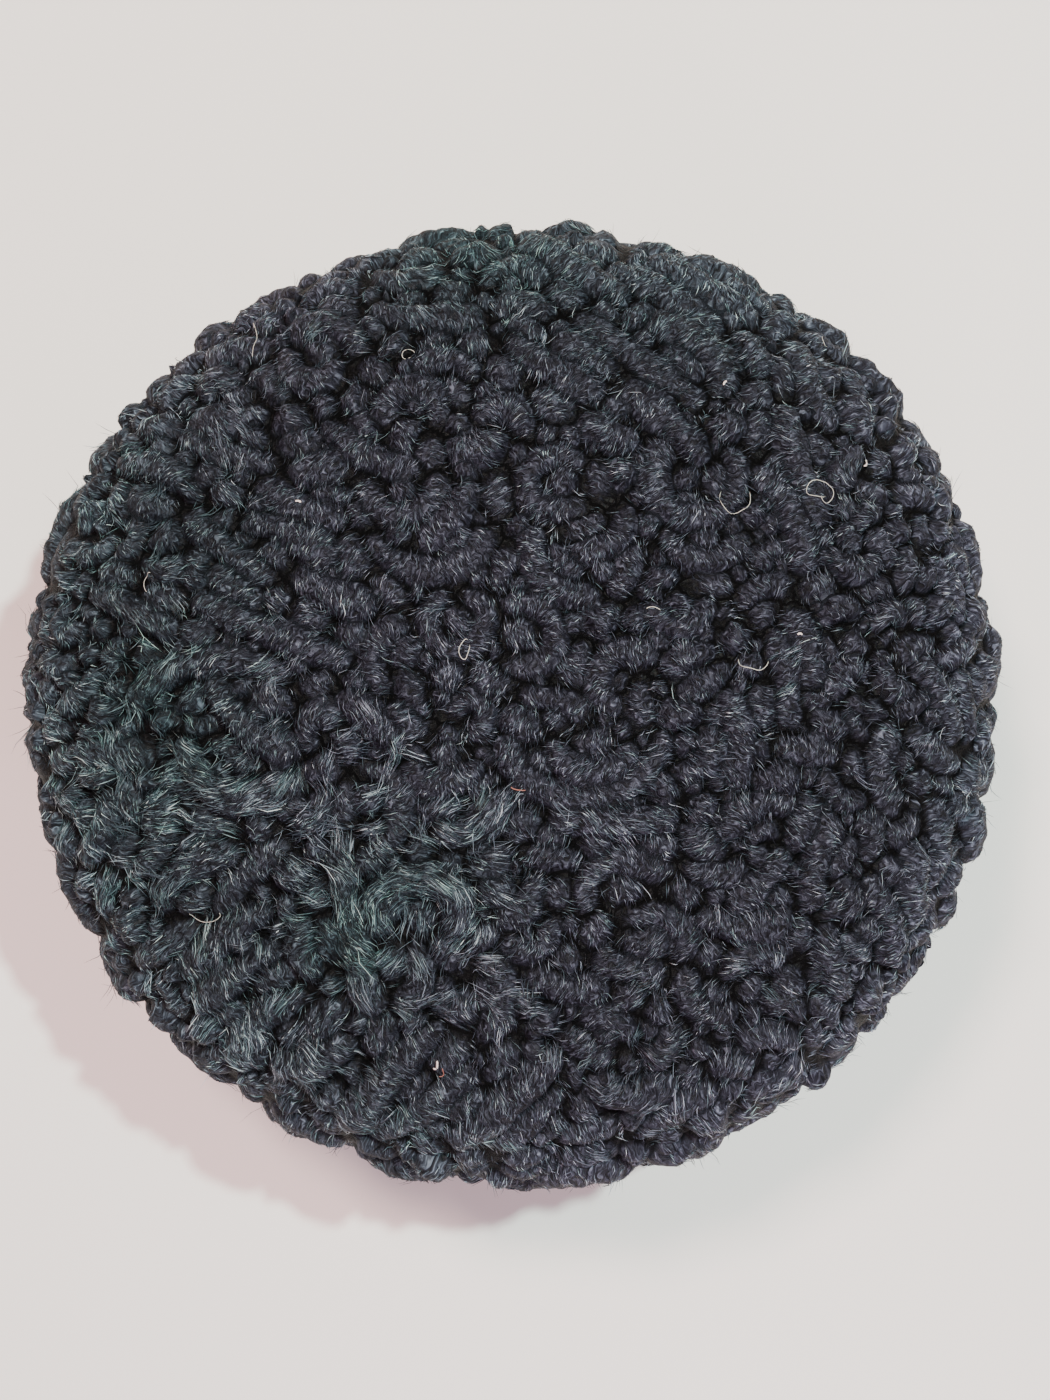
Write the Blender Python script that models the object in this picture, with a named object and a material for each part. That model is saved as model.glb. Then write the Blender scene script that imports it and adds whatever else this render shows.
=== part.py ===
"""Round karakul cap: a domed crown and an upright band of curly lamb pelt.

The rim stands on z = 0, +Z is up, +X is the right of the photo and +Y its top.
Each piece is one wall of pelt. Its inner face is the smooth skin and its outer face carries
the curls, as rolls fused to the skin. The curls are laid out on a flat pattern, as the pelt
lies before it is sewn: the crown's pattern is a disc, the band's is a strip whose ends meet
at the rear. Every curl has a ridge line, and the deepest places between the curls are
valleys. The outer face is the triangulation of ridges and valleys, lifted on to the cap.
"""
import math
from collections import namedtuple

import bmesh
import bpy
import numpy as np
from mathutils.geometry import delaunay_2d_cdt

MM = 0.001

# Driving dimensions of the skin's outer face
WIDEST_RADIUS = 96.4 * MM     # just below the shoulder
WIDEST_HEIGHT = 64 * MM
RIM_RADIUS = 94 * MM          # leaves an opening of 575 mm round the head
TOP_HEIGHT = 101 * MM
DOME_POWER = 2.8              # 2 is an ellipse, higher is flatter with a tighter shoulder
SEAM_SHARE = 0.955            # radius of the crown seam over the widest radius
SKIN = 2.5 * MM               # skin with its close under-fur
SEAM_GAP = 0.3 * MM
PROFILE_STEPS = 900

# The outline is round to within one hundredth: lobes, share of the radius, direction in degrees
Lobe = namedtuple("Lobe", "count share direction")
LOBES = [Lobe(2, 0.0075, 9), Lobe(3, 0.009, 51)]
AXIS_X = 0.77 * MM            # the skin's own axis, which puts the cap's box about the origin
AXIS_Y = 0.14 * MM

# Fur above the skin's outer face
CREST = 5.9 * MM
VALLEY = 2.8 * MM
SEWN = 2.6 * MM               # along the seam
TURNED = 1.4 * MM             # along the rim
END_DROP = 0.28               # share of its height that a curl's end falls below its crest
END_POWER = 3                 # higher keeps the fall nearer the end
CREST_SPREAD = 0.12           # curls differ in height by this share

REAR = 0.5 * math.pi          # the band's ends meet at +Y
RING_COUNT = 96               # points round the seam and the rim
RING_STEP = 12                # points added to each ring of the crown's inner face
BAND_INNER_ROWS = 6
BAND_INNER_COUNT = 48

# Spacing of the outer face's points
CROWN_RIDGE_STEP = 5.4 * MM
CROWN_VALLEY_STEP = 3.4 * MM
BAND_RIDGE_STEP = 7.5 * MM
BAND_VALLEY_STEP = 4.9 * MM
CANDIDATE_STEP = 1.5 * MM
RIDGE_CLEAR = 0.55            # share of a valley step that valleys keep from ridges
EDGE_CLEAR = 0.45             # share of a valley step that valleys keep from the pattern's edge

# Curl layout
LINE_POINTS = 9               # points that test a curl's centre line
MIN_TURN = 0.001
REGION_REACH = 15 * MM
CHARTED_CLOSENESS = 0.72      # share of two half widths that centre lines may come within
LAID_CLOSENESS = 0.94
EDGE_CLOSENESS = 0.85
PASSES = [(1.0, 2600), (0.72, 2600), (0.46, 3200), (0.26, 3600)]   # share of length, darts
LENGTH_SPREAD = (0.75, 1.25)
TURN_SPREAD = (0.5, 1.4)
WIDTH_SPREAD = (0.88, 1.12)
CROWN_SEED = 7
BAND_SEED = 11

Curl = namedtuple("Curl", "x y heading length turn half_width")
Region = namedtuple("Region", "x y heading spread length turn width")

# How the curls run in each part of the crown. Millimetres and degrees
REGIONS = [
    Region(-58, 65, -8, 25, 12, 70, 5.8),      # small level waves
    Region(-86, 26, 30, 90, 8, 150, 5.2),      # tight knobs at the left edge
    Region(-48, 22, -32, 14, 17, 25, 5.0),     # slanting rolls
    Region(-67, -14, 50, 30, 18, 70, 5.8),     # combed swirl
    Region(-18, 50, 0, 60, 15, 150, 5.4),      # crescents
    Region(-16, 77, -15, 40, 12, 90, 5.6),
    Region(5, 14, 60, 90, 16, 180, 5.0),       # rings and crescents in the middle
    Region(10, -18, 0, 30, 20, 110, 5.0),
    Region(27, 78, -36, 10, 24, 12, 5.8),      # long slanting rolls
    Region(59, 67, -62, 18, 18, 40, 5.6),
    Region(37, 31, -30, 60, 15, 140, 5.0),
    Region(69, 22, 0, 90, 8, 120, 4.8),        # small knobs
    Region(89, 5, -65, 20, 14, 30, 5.0),
    Region(72, -35, -70, 35, 14, 70, 5.2),
    Region(35, -42, 0, 60, 12, 110, 4.8),
    Region(-18, -42, 60, 50, 16, 110, 5.4),    # whorl
    Region(-54, -55, 37, 10, 20, 15, 5.6),     # long rolls up to the right
    Region(-16, -80, 48, 12, 24, 15, 6.0),
    Region(35, -76, 22, 35, 13, 60, 5.6),
    Region(-78, -35, 25, 25, 18, 60, 6.4),
]
BAND_REGION = Region(0, 0, 25, 55, 20, 80, 8.4)

# Curls that stand out on the crown: middle, heading there, length, whole turn, width
Charted = namedtuple("Charted", "x y heading length turn width")
CHARTED = [
    Charted(-22, 34, 0, 20, 170, 5.2),         # crescents left of the middle
    Charted(-16, 22.5, 2, 27, 130, 5.6),
    Charted(3, 40, -90, 25, 260, 5.2),         # open rings
    Charted(-11, 7.5, 0, 29, 300, 4.8),
    Charted(8, 10.5, 90, 25, 230, 4.8),
    Charted(14, -21, 3, 40, 140, 4.8),         # one crescent inside another
    Charted(15, -16, 0, 17, 130, 4.6),
    Charted(30, 78, -35, 24, -10, 5.6),        # long rolls at the upper right
    Charted(12, 84, -38, 24, 4, 6.0),
    Charted(36.5, 67, -45, 20, -60, 5.6),
    Charted(58, 69, -65, 20, -30, 5.6),
    Charted(35, 33, 0, 36, 250, 5.0),          # wide ring
    Charted(36, 25, -5, 17, 120, 4.8),
    Charted(53, 34, -65, 20, -40, 4.8),
    Charted(45, 26, -80, 12, 6, 4.4),
    Charted(31.5, 12, 0, 13, 150, 4.4),
    Charted(21.5, 13.5, 20, 11, 40, 4.8),
    Charted(56, 46, 90, 18, 260, 4.0),
    Charted(-54, -55, 38, 20, -10, 5.0),       # rolls at the lower left
    Charted(-56, -48, 38, 21, -15, 5.4),
    Charted(-24, -74, 50, 26, -20, 6.0),
    Charted(-18, -81, 40, 24, 10, 5.6),
    Charted(-9, -88, 55, 22, -10, 5.6),
    Charted(-55, 27, -35, 19, 5, 4.6),
    Charted(-47, 11, -22, 30, 5, 5.0),
    Charted(-60, 5.5, 10, 32, -80, 5.6),       # top and foot of the swirl
    Charted(-55, -20, -20, 26, 120, 5.6),
    Charted(-18, -36, 0, 28, -200, 6.0),       # whorl and its core
    Charted(-13, -46, 0, 18, 280, 4.0),
    Charted(-31.5, -45, -80, 32, 10, 5.6),     # upright tuft
    Charted(19, -25.5, 0, 21, 10, 4.6),
    Charted(44, -45.5, 0, 17, 60, 4.4),
    Charted(22, -53, -10, 11, 5, 5.4),
    Charted(-18, 74, -8, 20, 30, 5.4),
    Charted(83, -2, -62, 16, 5, 4.6),
]


def clear_scene():
    for old in list(bpy.data.objects):
        bpy.data.objects.remove(old, do_unlink=True)


def pelt_material(name, colour, roughness):
    material = bpy.data.materials.new(name)
    material.use_nodes = True
    shader = material.node_tree.nodes["Principled BSDF"]
    shader.inputs["Base Color"].default_value = (*colour, 1.0)
    shader.inputs["Roughness"].default_value = roughness
    shader.inputs["Metallic"].default_value = 0.0
    return material


def skin_profile():
    """Profile of the skin from the apex to the rim, at even arc lengths.

    Above the widest ring it is a quarter of a superellipse, below it a parabola that draws in
    to the rim. Gives arc length, radius, height and the outward normal's two parts.
    """
    angle = np.linspace(0, 0.5 * np.pi, PROFILE_STEPS)
    power = 2 / DOME_POWER
    drop = np.linspace(0, 1, PROFILE_STEPS)[1:]
    radius = np.concatenate([WIDEST_RADIUS * np.sin(angle) ** power,
                             WIDEST_RADIUS - (WIDEST_RADIUS - RIM_RADIUS) * drop ** 2])
    rise = (TOP_HEIGHT - WIDEST_HEIGHT) * np.maximum(np.cos(angle), 0) ** power
    height = np.concatenate([WIDEST_HEIGHT + rise, WIDEST_HEIGHT * (1 - drop)])
    length = np.concatenate([[0], np.cumsum(np.hypot(np.diff(radius), np.diff(height)))])
    even = np.linspace(0, length[-1], PROFILE_STEPS)
    radius, height = np.interp(even, length, radius), np.interp(even, length, height)
    along_r, along_z = np.gradient(radius, even), np.gradient(height, even)
    size = np.hypot(along_r, along_z)
    return even, radius, height, -along_z / size, along_r / size


LENGTH, RADIUS, HEIGHT, NORMAL_R, NORMAL_Z = skin_profile()
UPPER = int(np.argmax(RADIUS)) + 1      # profile points from the apex to the widest ring
SEAM = float(np.interp(SEAM_SHARE * WIDEST_RADIUS, RADIUS[:UPPER], LENGTH[:UPPER]))
RIM = float(LENGTH[-1])
ROUND = 2 * math.pi * WIDEST_RADIUS
CROWN_EDGE = SEAM - 0.5 * SEAM_GAP
BAND_EDGE = SEAM + 0.5 * SEAM_GAP


def on_cap(length, angle, lift):
    """World points at an arc length from the apex, an angle round the cap and a height
    above the skin's outer face."""
    radius = np.interp(length, LENGTH, RADIUS) + lift * np.interp(length, LENGTH, NORMAL_R)
    height = np.interp(length, LENGTH, HEIGHT) + lift * np.interp(length, LENGTH, NORMAL_Z)
    swell = sum(lobe.share * np.cos(lobe.count * (angle - math.radians(lobe.direction)))
                for lobe in LOBES)
    radius = radius * (1 + swell * np.minimum(length / SEAM, 1) ** 2)
    return np.stack([AXIS_X + radius * np.cos(angle), AXIS_Y + radius * np.sin(angle), height],
                    axis=1)


def crown_on_cap(pattern, lift):
    return on_cap(np.hypot(*pattern.T), np.arctan2(pattern[:, 1], pattern[:, 0]), lift)


def band_on_cap(pattern, lift):
    return on_cap(pattern[:, 1], REAR + pattern[:, 0] / WIDEST_RADIUS, lift)


def centre_line(curl, share):
    """Points of a curl's arc; share runs from -0.5 at one end to 0.5 at the other."""
    turn = curl.turn if abs(curl.turn) > MIN_TURN else MIN_TURN
    angle = curl.heading + turn * share
    reach = curl.length / turn
    return np.stack([curl.x + reach * (np.sin(angle) - math.sin(curl.heading)),
                     curl.y - reach * (np.cos(angle) - math.cos(curl.heading))], axis=1)


def crown_inside(points, margin):
    return bool(np.all(np.hypot(*points.T) < CROWN_EDGE - margin))


def band_inside(points, margin):
    across, down = points.T
    return bool(np.all((across > margin) & (across < ROUND - margin)
                       & (down > BAND_EDGE + margin) & (down < RIM - margin)))


def charted_curls():
    """Charted curls as seen from above, moved out to their arc length on the domed skin."""
    curls = []
    for row in CHARTED:
        plan = math.hypot(row.x, row.y) * MM
        out = np.interp(plan, RADIUS[:UPPER], LENGTH[:UPPER]) / plan
        curls.append(Curl(row.x * MM * out, row.y * MM * out, math.radians(row.heading),
                          row.length * MM, math.radians(row.turn), 0.5 * row.width * MM))
    return curls


def drawn_curl(rng, x, y, region, share):
    """A curl of a region's kind at x, y; share shortens it for the later passes."""
    heading = math.radians(region.heading + region.spread * rng.uniform(-1, 1))
    length = region.length * MM * share * rng.uniform(*LENGTH_SPREAD)
    turn = math.radians(region.turn) * rng.uniform(*TURN_SPREAD) * rng.choice([-1, 1]) * share
    half_width = 0.5 * region.width * MM * rng.uniform(*WIDTH_SPREAD)
    return Curl(x, y, heading, length, turn, half_width)


def crown_curl(rng, share):
    angle, out = rng.uniform(0, 2 * math.pi), CROWN_EDGE * math.sqrt(rng.uniform(0, 1))
    x, y = out * math.cos(angle), out * math.sin(angle)
    near = np.array([math.hypot(x - row.x * MM, y - row.y * MM) for row in REGIONS])
    weight = np.exp(-0.5 * (near / REGION_REACH) ** 2) + 1e-9
    region = REGIONS[rng.choice(len(REGIONS), p=weight / weight.sum())]
    return drawn_curl(rng, x, y, region, share)


def band_curl(rng, share):
    return drawn_curl(rng, rng.uniform(0, ROUND), rng.uniform(BAND_EDGE, RIM), BAND_REGION, share)


def lay_curls(charted, draw, inside, seed):
    """Throw darts, long curls first, and keep each curl whose centre line stays clear of
    the curls already laid and of the pattern's edge."""
    rng = np.random.default_rng(seed)
    share = np.linspace(-0.5, 0.5, LINE_POINTS)
    laid, lines, widths = [], np.empty((0, 2)), np.empty(0)
    darts = [(curl, CHARTED_CLOSENESS) for curl in charted]
    darts += [(draw(rng, part), LAID_CLOSENESS) for part, count in PASSES for _ in range(count)]
    for curl, closeness in darts:
        line = centre_line(curl, share)
        if not inside(line, EDGE_CLOSENESS * curl.half_width):
            continue
        if len(lines):
            apart = np.linalg.norm(line[:, None] - lines[None], axis=2)
            if np.any(apart < closeness * (curl.half_width + widths)[None]):
                continue
        laid.append(curl)
        lines = np.concatenate([lines, line])
        widths = np.concatenate([widths, np.full(LINE_POINTS, curl.half_width)])
    return laid, lines, widths


def ridge_points(curls, step, first, rng):
    """Points along each curl's crest, their heights above the skin, and the edges that join
    them, with corners numbered from first."""
    points, lifts, edges = [], [], []
    for curl in curls:
        count = max(2, round(curl.length / step) + 1)
        share = np.linspace(-0.5, 0.5, count) * (1 - 0.5 / count)
        crest = CREST * (1 + CREST_SPREAD * rng.uniform(-1, 1))
        points.append(centre_line(curl, share))
        lifts.append(crest * (1 - END_DROP * np.abs(2 * share) ** END_POWER))
        edges += [(first + k, first + k + 1) for k in range(count - 1)]
        first += count
    return np.concatenate(points), np.concatenate(lifts), edges


def valley_points(candidates, lines, widths, taken, step):
    """Deepest places between the curls, a step apart and clear of the points taken."""
    beside = np.array([np.min(np.linalg.norm(lines - spot, axis=1) - widths)
                       for spot in candidates])
    kept = []
    for spot in candidates[np.argsort(-beside, kind="stable")]:
        if np.min(np.linalg.norm(taken - spot, axis=1)) < RIDGE_CLEAR * step:
            continue
        if kept and np.min(np.linalg.norm(np.array(kept) - spot, axis=1)) < step:
            continue
        kept.append(spot)
    return np.array(kept)


def triangulate(points, edges=()):
    """Delaunay triangles of a convex flat pattern that keep its given edges."""
    flat = delaunay_2d_cdt([tuple(point) for point in points / MM], edges, [], 0, 1e-6)
    origin = [sources[0] for sources in flat[3]]
    return [tuple(origin[corner] for corner in face) for face in flat[2]]


def sheet(mesh, world, faces):
    """Add one face of the pelt to mesh, and give its corners."""
    corners = [mesh.verts.new(point) for point in world]
    for face in faces:
        mesh.faces.new([corners[i] for i in face])
    return corners


def close_pelt(name, outer, inner, rims):
    """One closed wall: an outer and an inner face, joined along rims, which run through
    corners of the same number on both. The ends of a strip meet and are merged."""
    mesh = bmesh.new()
    outside, inside = sheet(mesh, *outer), sheet(mesh, *inner)
    for rim in rims:
        for a, b in zip(rim, rim[1:]):
            mesh.faces.new([outside[a], outside[b], inside[b], inside[a]])
    bmesh.ops.remove_doubles(mesh, verts=mesh.verts, dist=0.01 * MM)
    bmesh.ops.triangulate(mesh, faces=mesh.faces)
    bmesh.ops.recalc_face_normals(mesh, faces=mesh.faces)
    data = bpy.data.meshes.new(name)
    mesh.to_mesh(data)
    mesh.free()
    data.shade_smooth()
    piece = bpy.data.objects.new(name, data)
    bpy.context.scene.collection.objects.link(piece)
    return piece


def outer_pattern(edge, edge_lifts, laid, ridge_step, valley_step, inside, extent, seed):
    """Pattern points, heights and faces of a curly face, its edge points first."""
    curls, lines, widths = laid
    ridges, crests, crest_edges = ridge_points(curls, ridge_step, len(edge),
                                               np.random.default_rng(seed))
    across, down = (np.arange(low, high, CANDIDATE_STEP) for low, high in extent)
    grid = np.stack(np.meshgrid(across, down), axis=-1).reshape(-1, 2)
    grid = np.array([spot for spot in grid if inside(spot[None], EDGE_CLEAR * valley_step)])
    valleys = valley_points(grid, lines, widths, np.concatenate([edge, ridges]), valley_step)
    points = np.concatenate([edge, ridges, valleys])
    lifts = np.concatenate([edge_lifts, crests, np.full(len(valleys), VALLEY)])
    return points, lifts, triangulate(points, crest_edges)


def ring(length, count):
    angle = np.arange(count) * 2 * np.pi / count
    return length * np.stack([np.cos(angle), np.sin(angle)], axis=1)


def make_crown():
    """Domed disc of pelt, turned down over the shoulder to the seam."""
    laid = lay_curls(charted_curls(), crown_curl, crown_inside, CROWN_SEED)
    edge = ring(CROWN_EDGE, RING_COUNT)
    points, lifts, faces = outer_pattern(edge, np.full(len(edge), SEWN), laid,
                                         CROWN_RIDGE_STEP, CROWN_VALLEY_STEP, crown_inside,
                                         [(-CROWN_EDGE, CROWN_EDGE)] * 2, CROWN_SEED)
    outer = crown_on_cap(points, lifts), faces
    ring_total = RING_COUNT // RING_STEP
    rings = [ring(CROWN_EDGE * k / ring_total, RING_STEP * k) for k in range(ring_total, 0, -1)]
    lining = np.concatenate(rings + [np.zeros((1, 2))])
    inner = crown_on_cap(lining, np.full(len(lining), -SKIN)), triangulate(lining)
    seam = [*range(RING_COUNT), 0]
    crown = close_pelt("crown", outer, inner, [seam])
    crown.data.materials.append(pelt_material("karakul_crown", (0.030, 0.032, 0.038), 0.55))


def strip_edge():
    """Outline points of the band's strip: top row, bottom row, then its two ends."""
    across = np.linspace(0, ROUND, RING_COUNT + 1)
    rows = [np.stack([across, np.full(len(across), down)], axis=1) for down in (BAND_EDGE, RIM)]
    down = np.linspace(BAND_EDGE, RIM, 2 + round((RIM - BAND_EDGE) / BAND_VALLEY_STEP))[1:-1]
    ends = [np.stack([np.full(len(down), side), down], axis=1) for side in (0, ROUND)]
    return np.concatenate(rows + ends)


def strip_lining():
    """Points of the band's smooth inner face, staggered from row to row."""
    rows = [strip_edge()]
    for row in range(BAND_INNER_ROWS):
        down = BAND_EDGE + (RIM - BAND_EDGE) * (row + 1) / (BAND_INNER_ROWS + 1)
        shift = 0.25 + 0.5 * (row % 2)
        across = (np.arange(BAND_INNER_COUNT) + shift) * ROUND / BAND_INNER_COUNT
        rows.append(np.stack([across, np.full(len(across), down)], axis=1))
    return np.concatenate(rows)


def flat_rim(world, pattern):
    """Lay the rim's own points on the floor plane, so that the cap stands on a flat ring."""
    world[pattern[:, 1] >= RIM - 0.01 * MM, 2] = 0
    return world


def make_side_band():
    """Upright wall: one strip of pelt round the head, its ends sewn together at the rear."""
    laid = lay_curls([], band_curl, band_inside, BAND_SEED)
    edge = strip_edge()
    edge_lifts = SEWN + (TURNED - SEWN) * (edge[:, 1] - BAND_EDGE) / (RIM - BAND_EDGE)
    points, lifts, faces = outer_pattern(edge, edge_lifts, laid, BAND_RIDGE_STEP,
                                         BAND_VALLEY_STEP, band_inside,
                                         [(0, ROUND), (BAND_EDGE, RIM)], BAND_SEED)
    outer = flat_rim(band_on_cap(points, lifts), points), faces
    lining = strip_lining()
    inner = flat_rim(band_on_cap(lining, np.full(len(lining), -SKIN)), lining), triangulate(lining)
    row = RING_COUNT + 1
    band = close_pelt("side_band", outer, inner, [range(row), range(row, 2 * row)])
    band.data.materials.append(pelt_material("karakul_band", (0.028, 0.030, 0.035), 0.55))


clear_scene()
make_crown()
make_side_band()
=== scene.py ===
import math
from collections import namedtuple

import bpy
import numpy as np
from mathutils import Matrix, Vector


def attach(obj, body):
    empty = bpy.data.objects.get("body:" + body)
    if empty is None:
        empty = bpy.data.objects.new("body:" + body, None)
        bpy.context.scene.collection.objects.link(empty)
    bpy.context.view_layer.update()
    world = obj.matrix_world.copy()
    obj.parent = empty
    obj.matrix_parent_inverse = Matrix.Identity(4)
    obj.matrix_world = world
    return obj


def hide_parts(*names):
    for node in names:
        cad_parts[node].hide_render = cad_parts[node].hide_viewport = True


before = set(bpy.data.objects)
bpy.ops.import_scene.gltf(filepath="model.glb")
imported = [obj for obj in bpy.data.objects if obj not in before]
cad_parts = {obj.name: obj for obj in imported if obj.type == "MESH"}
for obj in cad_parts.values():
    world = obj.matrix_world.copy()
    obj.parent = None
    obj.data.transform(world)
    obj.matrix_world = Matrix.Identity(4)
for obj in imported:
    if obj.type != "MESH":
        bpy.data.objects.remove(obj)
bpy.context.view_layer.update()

mm = 0.001
tiny = 1e-9                  # keeps a division or a chance from being nought
quarterTurn = 0.5 * math.pi
fullTurn = 2 * math.pi
print("frame loaded:", sorted(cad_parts))


# Colours and nodes

# sRGB hex text to linear red, green, blue and alpha: c / 12.92 where it is dark, and
# ((c + 0.055) / 1.055)^2.4 elsewhere.
def linearColour(hexText):
    parts = np.array([int(hexText[k:k + 2], 16) for k in (1, 3, 5)]) / 255
    linear = np.where(parts <= 0.04045, parts / 12.92, ((parts + 0.055) / 1.055) ** 2.4)
    return (*linear.tolist(), 1.0)


# Settings go to a node's sockets, by name or number, or else to its properties, and links
# join outputs of other nodes to its sockets.
def setNode(node, settings=None, links=None):
    for name, value in (settings or {}).items():
        if isinstance(name, int) or name in node.inputs:
            node.inputs[name].default_value = value
        else:
            setattr(node, name, value)
    for name, source in (links or {}).items():
        node.id_data.links.new(source, node.inputs[name])


def addNode(tree, kind, settings=None, links=None):
    node = tree.nodes.new(kind)
    setNode(node, settings, links)
    return node


def newMaterial(name):
    material = bpy.data.materials.new(name)
    material.use_nodes = True
    tree = material.node_tree
    return material, tree, tree.nodes["Principled BSDF"]


# Sets a colour ramp's stops, each a place from 0 to 1 and a hex colour.
def setRamp(node, stops):
    ramp = node.color_ramp
    while len(ramp.elements) > 1:
        ramp.elements.remove(ramp.elements[-1])
    ramp.elements[0].position, ramp.elements[0].color = stops[0][0], linearColour(stops[0][1])
    for place, colour in stops[1:]:
        ramp.elements.new(place).color = linearColour(colour)


# The cap's skin, the same surface as the CAD part's

skin = {                     # millimetres
    "widestRadius": 96.4, "widestHeight": 64, "rimRadius": 94, "topHeight": 101,
    "domePower": 2.8, "seamShare": 0.955, "thickness": 2.5, "seamGap": 0.3,
    "axisX": 0.77, "axisY": 0.14, "profileSteps": 900,
    "lobes": [(2, 0.0075, 9), (3, 0.009, 51)],     # count, share of the radius, direction
}


# Superellipse (r/R)^p + ((z-w)/h)^p = 1 above the widest ring, parabola
# r = R - (R - rim) t^2 below it, taken at even arc lengths with the outward normal.
def skinProfile():
    angle = np.linspace(0, quarterTurn, skin["profileSteps"])
    power = 2 / skin["domePower"]
    drop = np.linspace(0, 1, skin["profileSteps"])[1:]
    drawIn = skin["widestRadius"] - skin["rimRadius"]
    rise = skin["topHeight"] - skin["widestHeight"]
    radius = np.concatenate([skin["widestRadius"] * np.sin(angle) ** power,
                             skin["widestRadius"] - drawIn * drop ** 2]) * mm
    height = np.concatenate([skin["widestHeight"] + rise * np.maximum(np.cos(angle), 0) ** power,
                             skin["widestHeight"] * (1 - drop)]) * mm
    length = np.concatenate([[0], np.cumsum(np.hypot(np.diff(radius), np.diff(height)))])
    even = np.linspace(0, length[-1], skin["profileSteps"])
    radius, height = np.interp(even, length, radius), np.interp(even, length, height)
    alongR, alongZ = np.gradient(radius, even), np.gradient(height, even)
    size = np.hypot(alongR, alongZ)
    return {"length": even, "radius": radius, "height": height,
            "normalR": -alongZ / size, "normalZ": alongR / size}


profile = skinProfile()
upper = int(np.argmax(profile["radius"])) + 1          # from the apex to the widest ring
widest = skin["widestRadius"] * mm
seam = float(np.interp(skin["seamShare"] * widest, profile["radius"][:upper],
                       profile["length"][:upper]))
rim = float(profile["length"][-1])
around = fullTurn * widest
crownEdge = seam - 0.5 * skin["seamGap"] * mm
bandEdge = seam + 0.5 * skin["seamGap"] * mm


# Points at arc lengths from the apex, angles round the cap and lifts off the skin:
# r = (radius + lift * normal) * (1 + lobes). The arrays may have any shape.
def onCap(length, angle, lift):
    read = {name: np.interp(length, profile["length"], values)
            for name, values in profile.items() if name != "length"}
    radius = read["radius"] + lift * read["normalR"]
    height = read["height"] + lift * read["normalZ"]
    swell = sum(share * np.cos(count * (angle - math.radians(direction)))
                for count, share, direction in skin["lobes"])
    radius = radius * (1 + swell * np.minimum(length / seam, 1) ** 2)
    return np.stack([skin["axisX"] * mm + radius * np.cos(angle),
                     skin["axisY"] * mm + radius * np.sin(angle), np.maximum(height, 0)], axis=-1)


ruffles = {                  # shifts in mm; a wave is 2 pi times its value long, 7 and 4 mm
    "wide": 0.22, "wideWave": 1.15, "fine": 0.07, "fineWave": 0.62, "lift": 0.05,
    "bend": 1.8, "bendX": 0.21, "bendY": 0.17, "skewX": 0.8, "skewY": 0.7,
    "liftX": 1.3, "liftY": 1.1, "phaseX": 0.4, "phaseY": 1.3, "phaseFine": 2.2,
}


# Shifts the pattern by crossed sine waves, sin(y / wave + bend), so no curl is even, and
# swells the lift by 1 + share * sin * sin.
def ruffled(x, y, lift):
    wide, fine = ruffles["wideWave"] * mm, ruffles["fineWave"] * mm
    bend = ruffles["bend"] * np.sin(ruffles["bendX"] * x / wide + ruffles["bendY"] * y / wide)
    shiftX = (ruffles["wide"] * np.sin(y / wide + bend)
              + ruffles["fine"] * np.sin(ruffles["skewX"] * x / fine + y / fine)) * mm
    shiftY = (ruffles["wide"] * np.sin(x / wide - bend + ruffles["phaseY"]) + ruffles["fine"]
              * np.sin(x / fine - ruffles["skewY"] * y / fine + ruffles["phaseFine"])) * mm
    crossed = (np.sin(ruffles["liftX"] * x / wide + ruffles["phaseX"])
               * np.sin(ruffles["liftY"] * y / wide + bend))
    return x + shiftX, y + shiftY, lift * (1 + ruffles["lift"] * crossed)


# The crown's pattern is a disc: distance from its middle is arc length from the apex.
def crownPoint(x, y, lift):
    x, y, lift = ruffled(x, y, lift)
    return onCap(np.hypot(x, y), np.arctan2(y, x), lift)


# The band's pattern is a strip: x runs round the cap from the rear, y down from the apex.
def bandPoint(x, y, lift):
    x, y, lift = ruffled(x, y, np.broadcast_to(lift, np.shape(x)))
    return onCap(y, quarterTurn - x / widest, lift)


# Curl layout on the flat patterns

Curl = namedtuple("Curl", "x y heading length turn halfWidth loose")
Region = namedtuple("Region", "x y heading spread length turn width loose")
Charted = namedtuple("Charted", "x y heading length turn width loose")

layout = {                   # closeness and spreads are shares of a curl's own measures
    "linePoints": 9, "minTurn": 0.001, "regionReach": 15 * mm,
    "chartedCloseness": 0.72, "laidCloseness": 0.94, "edgeCloseness": 0.85,
    "passes": [(1.0, 2600), (0.72, 2600), (0.46, 3200), (0.26, 3600)],   # share of length, throws
    "lengthSpread": (0.75, 1.25), "turnSpread": (0.5, 1.4), "widthSpread": (0.88, 1.12),
    "crownSeed": 7, "bandSeed": 11,
}

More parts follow.
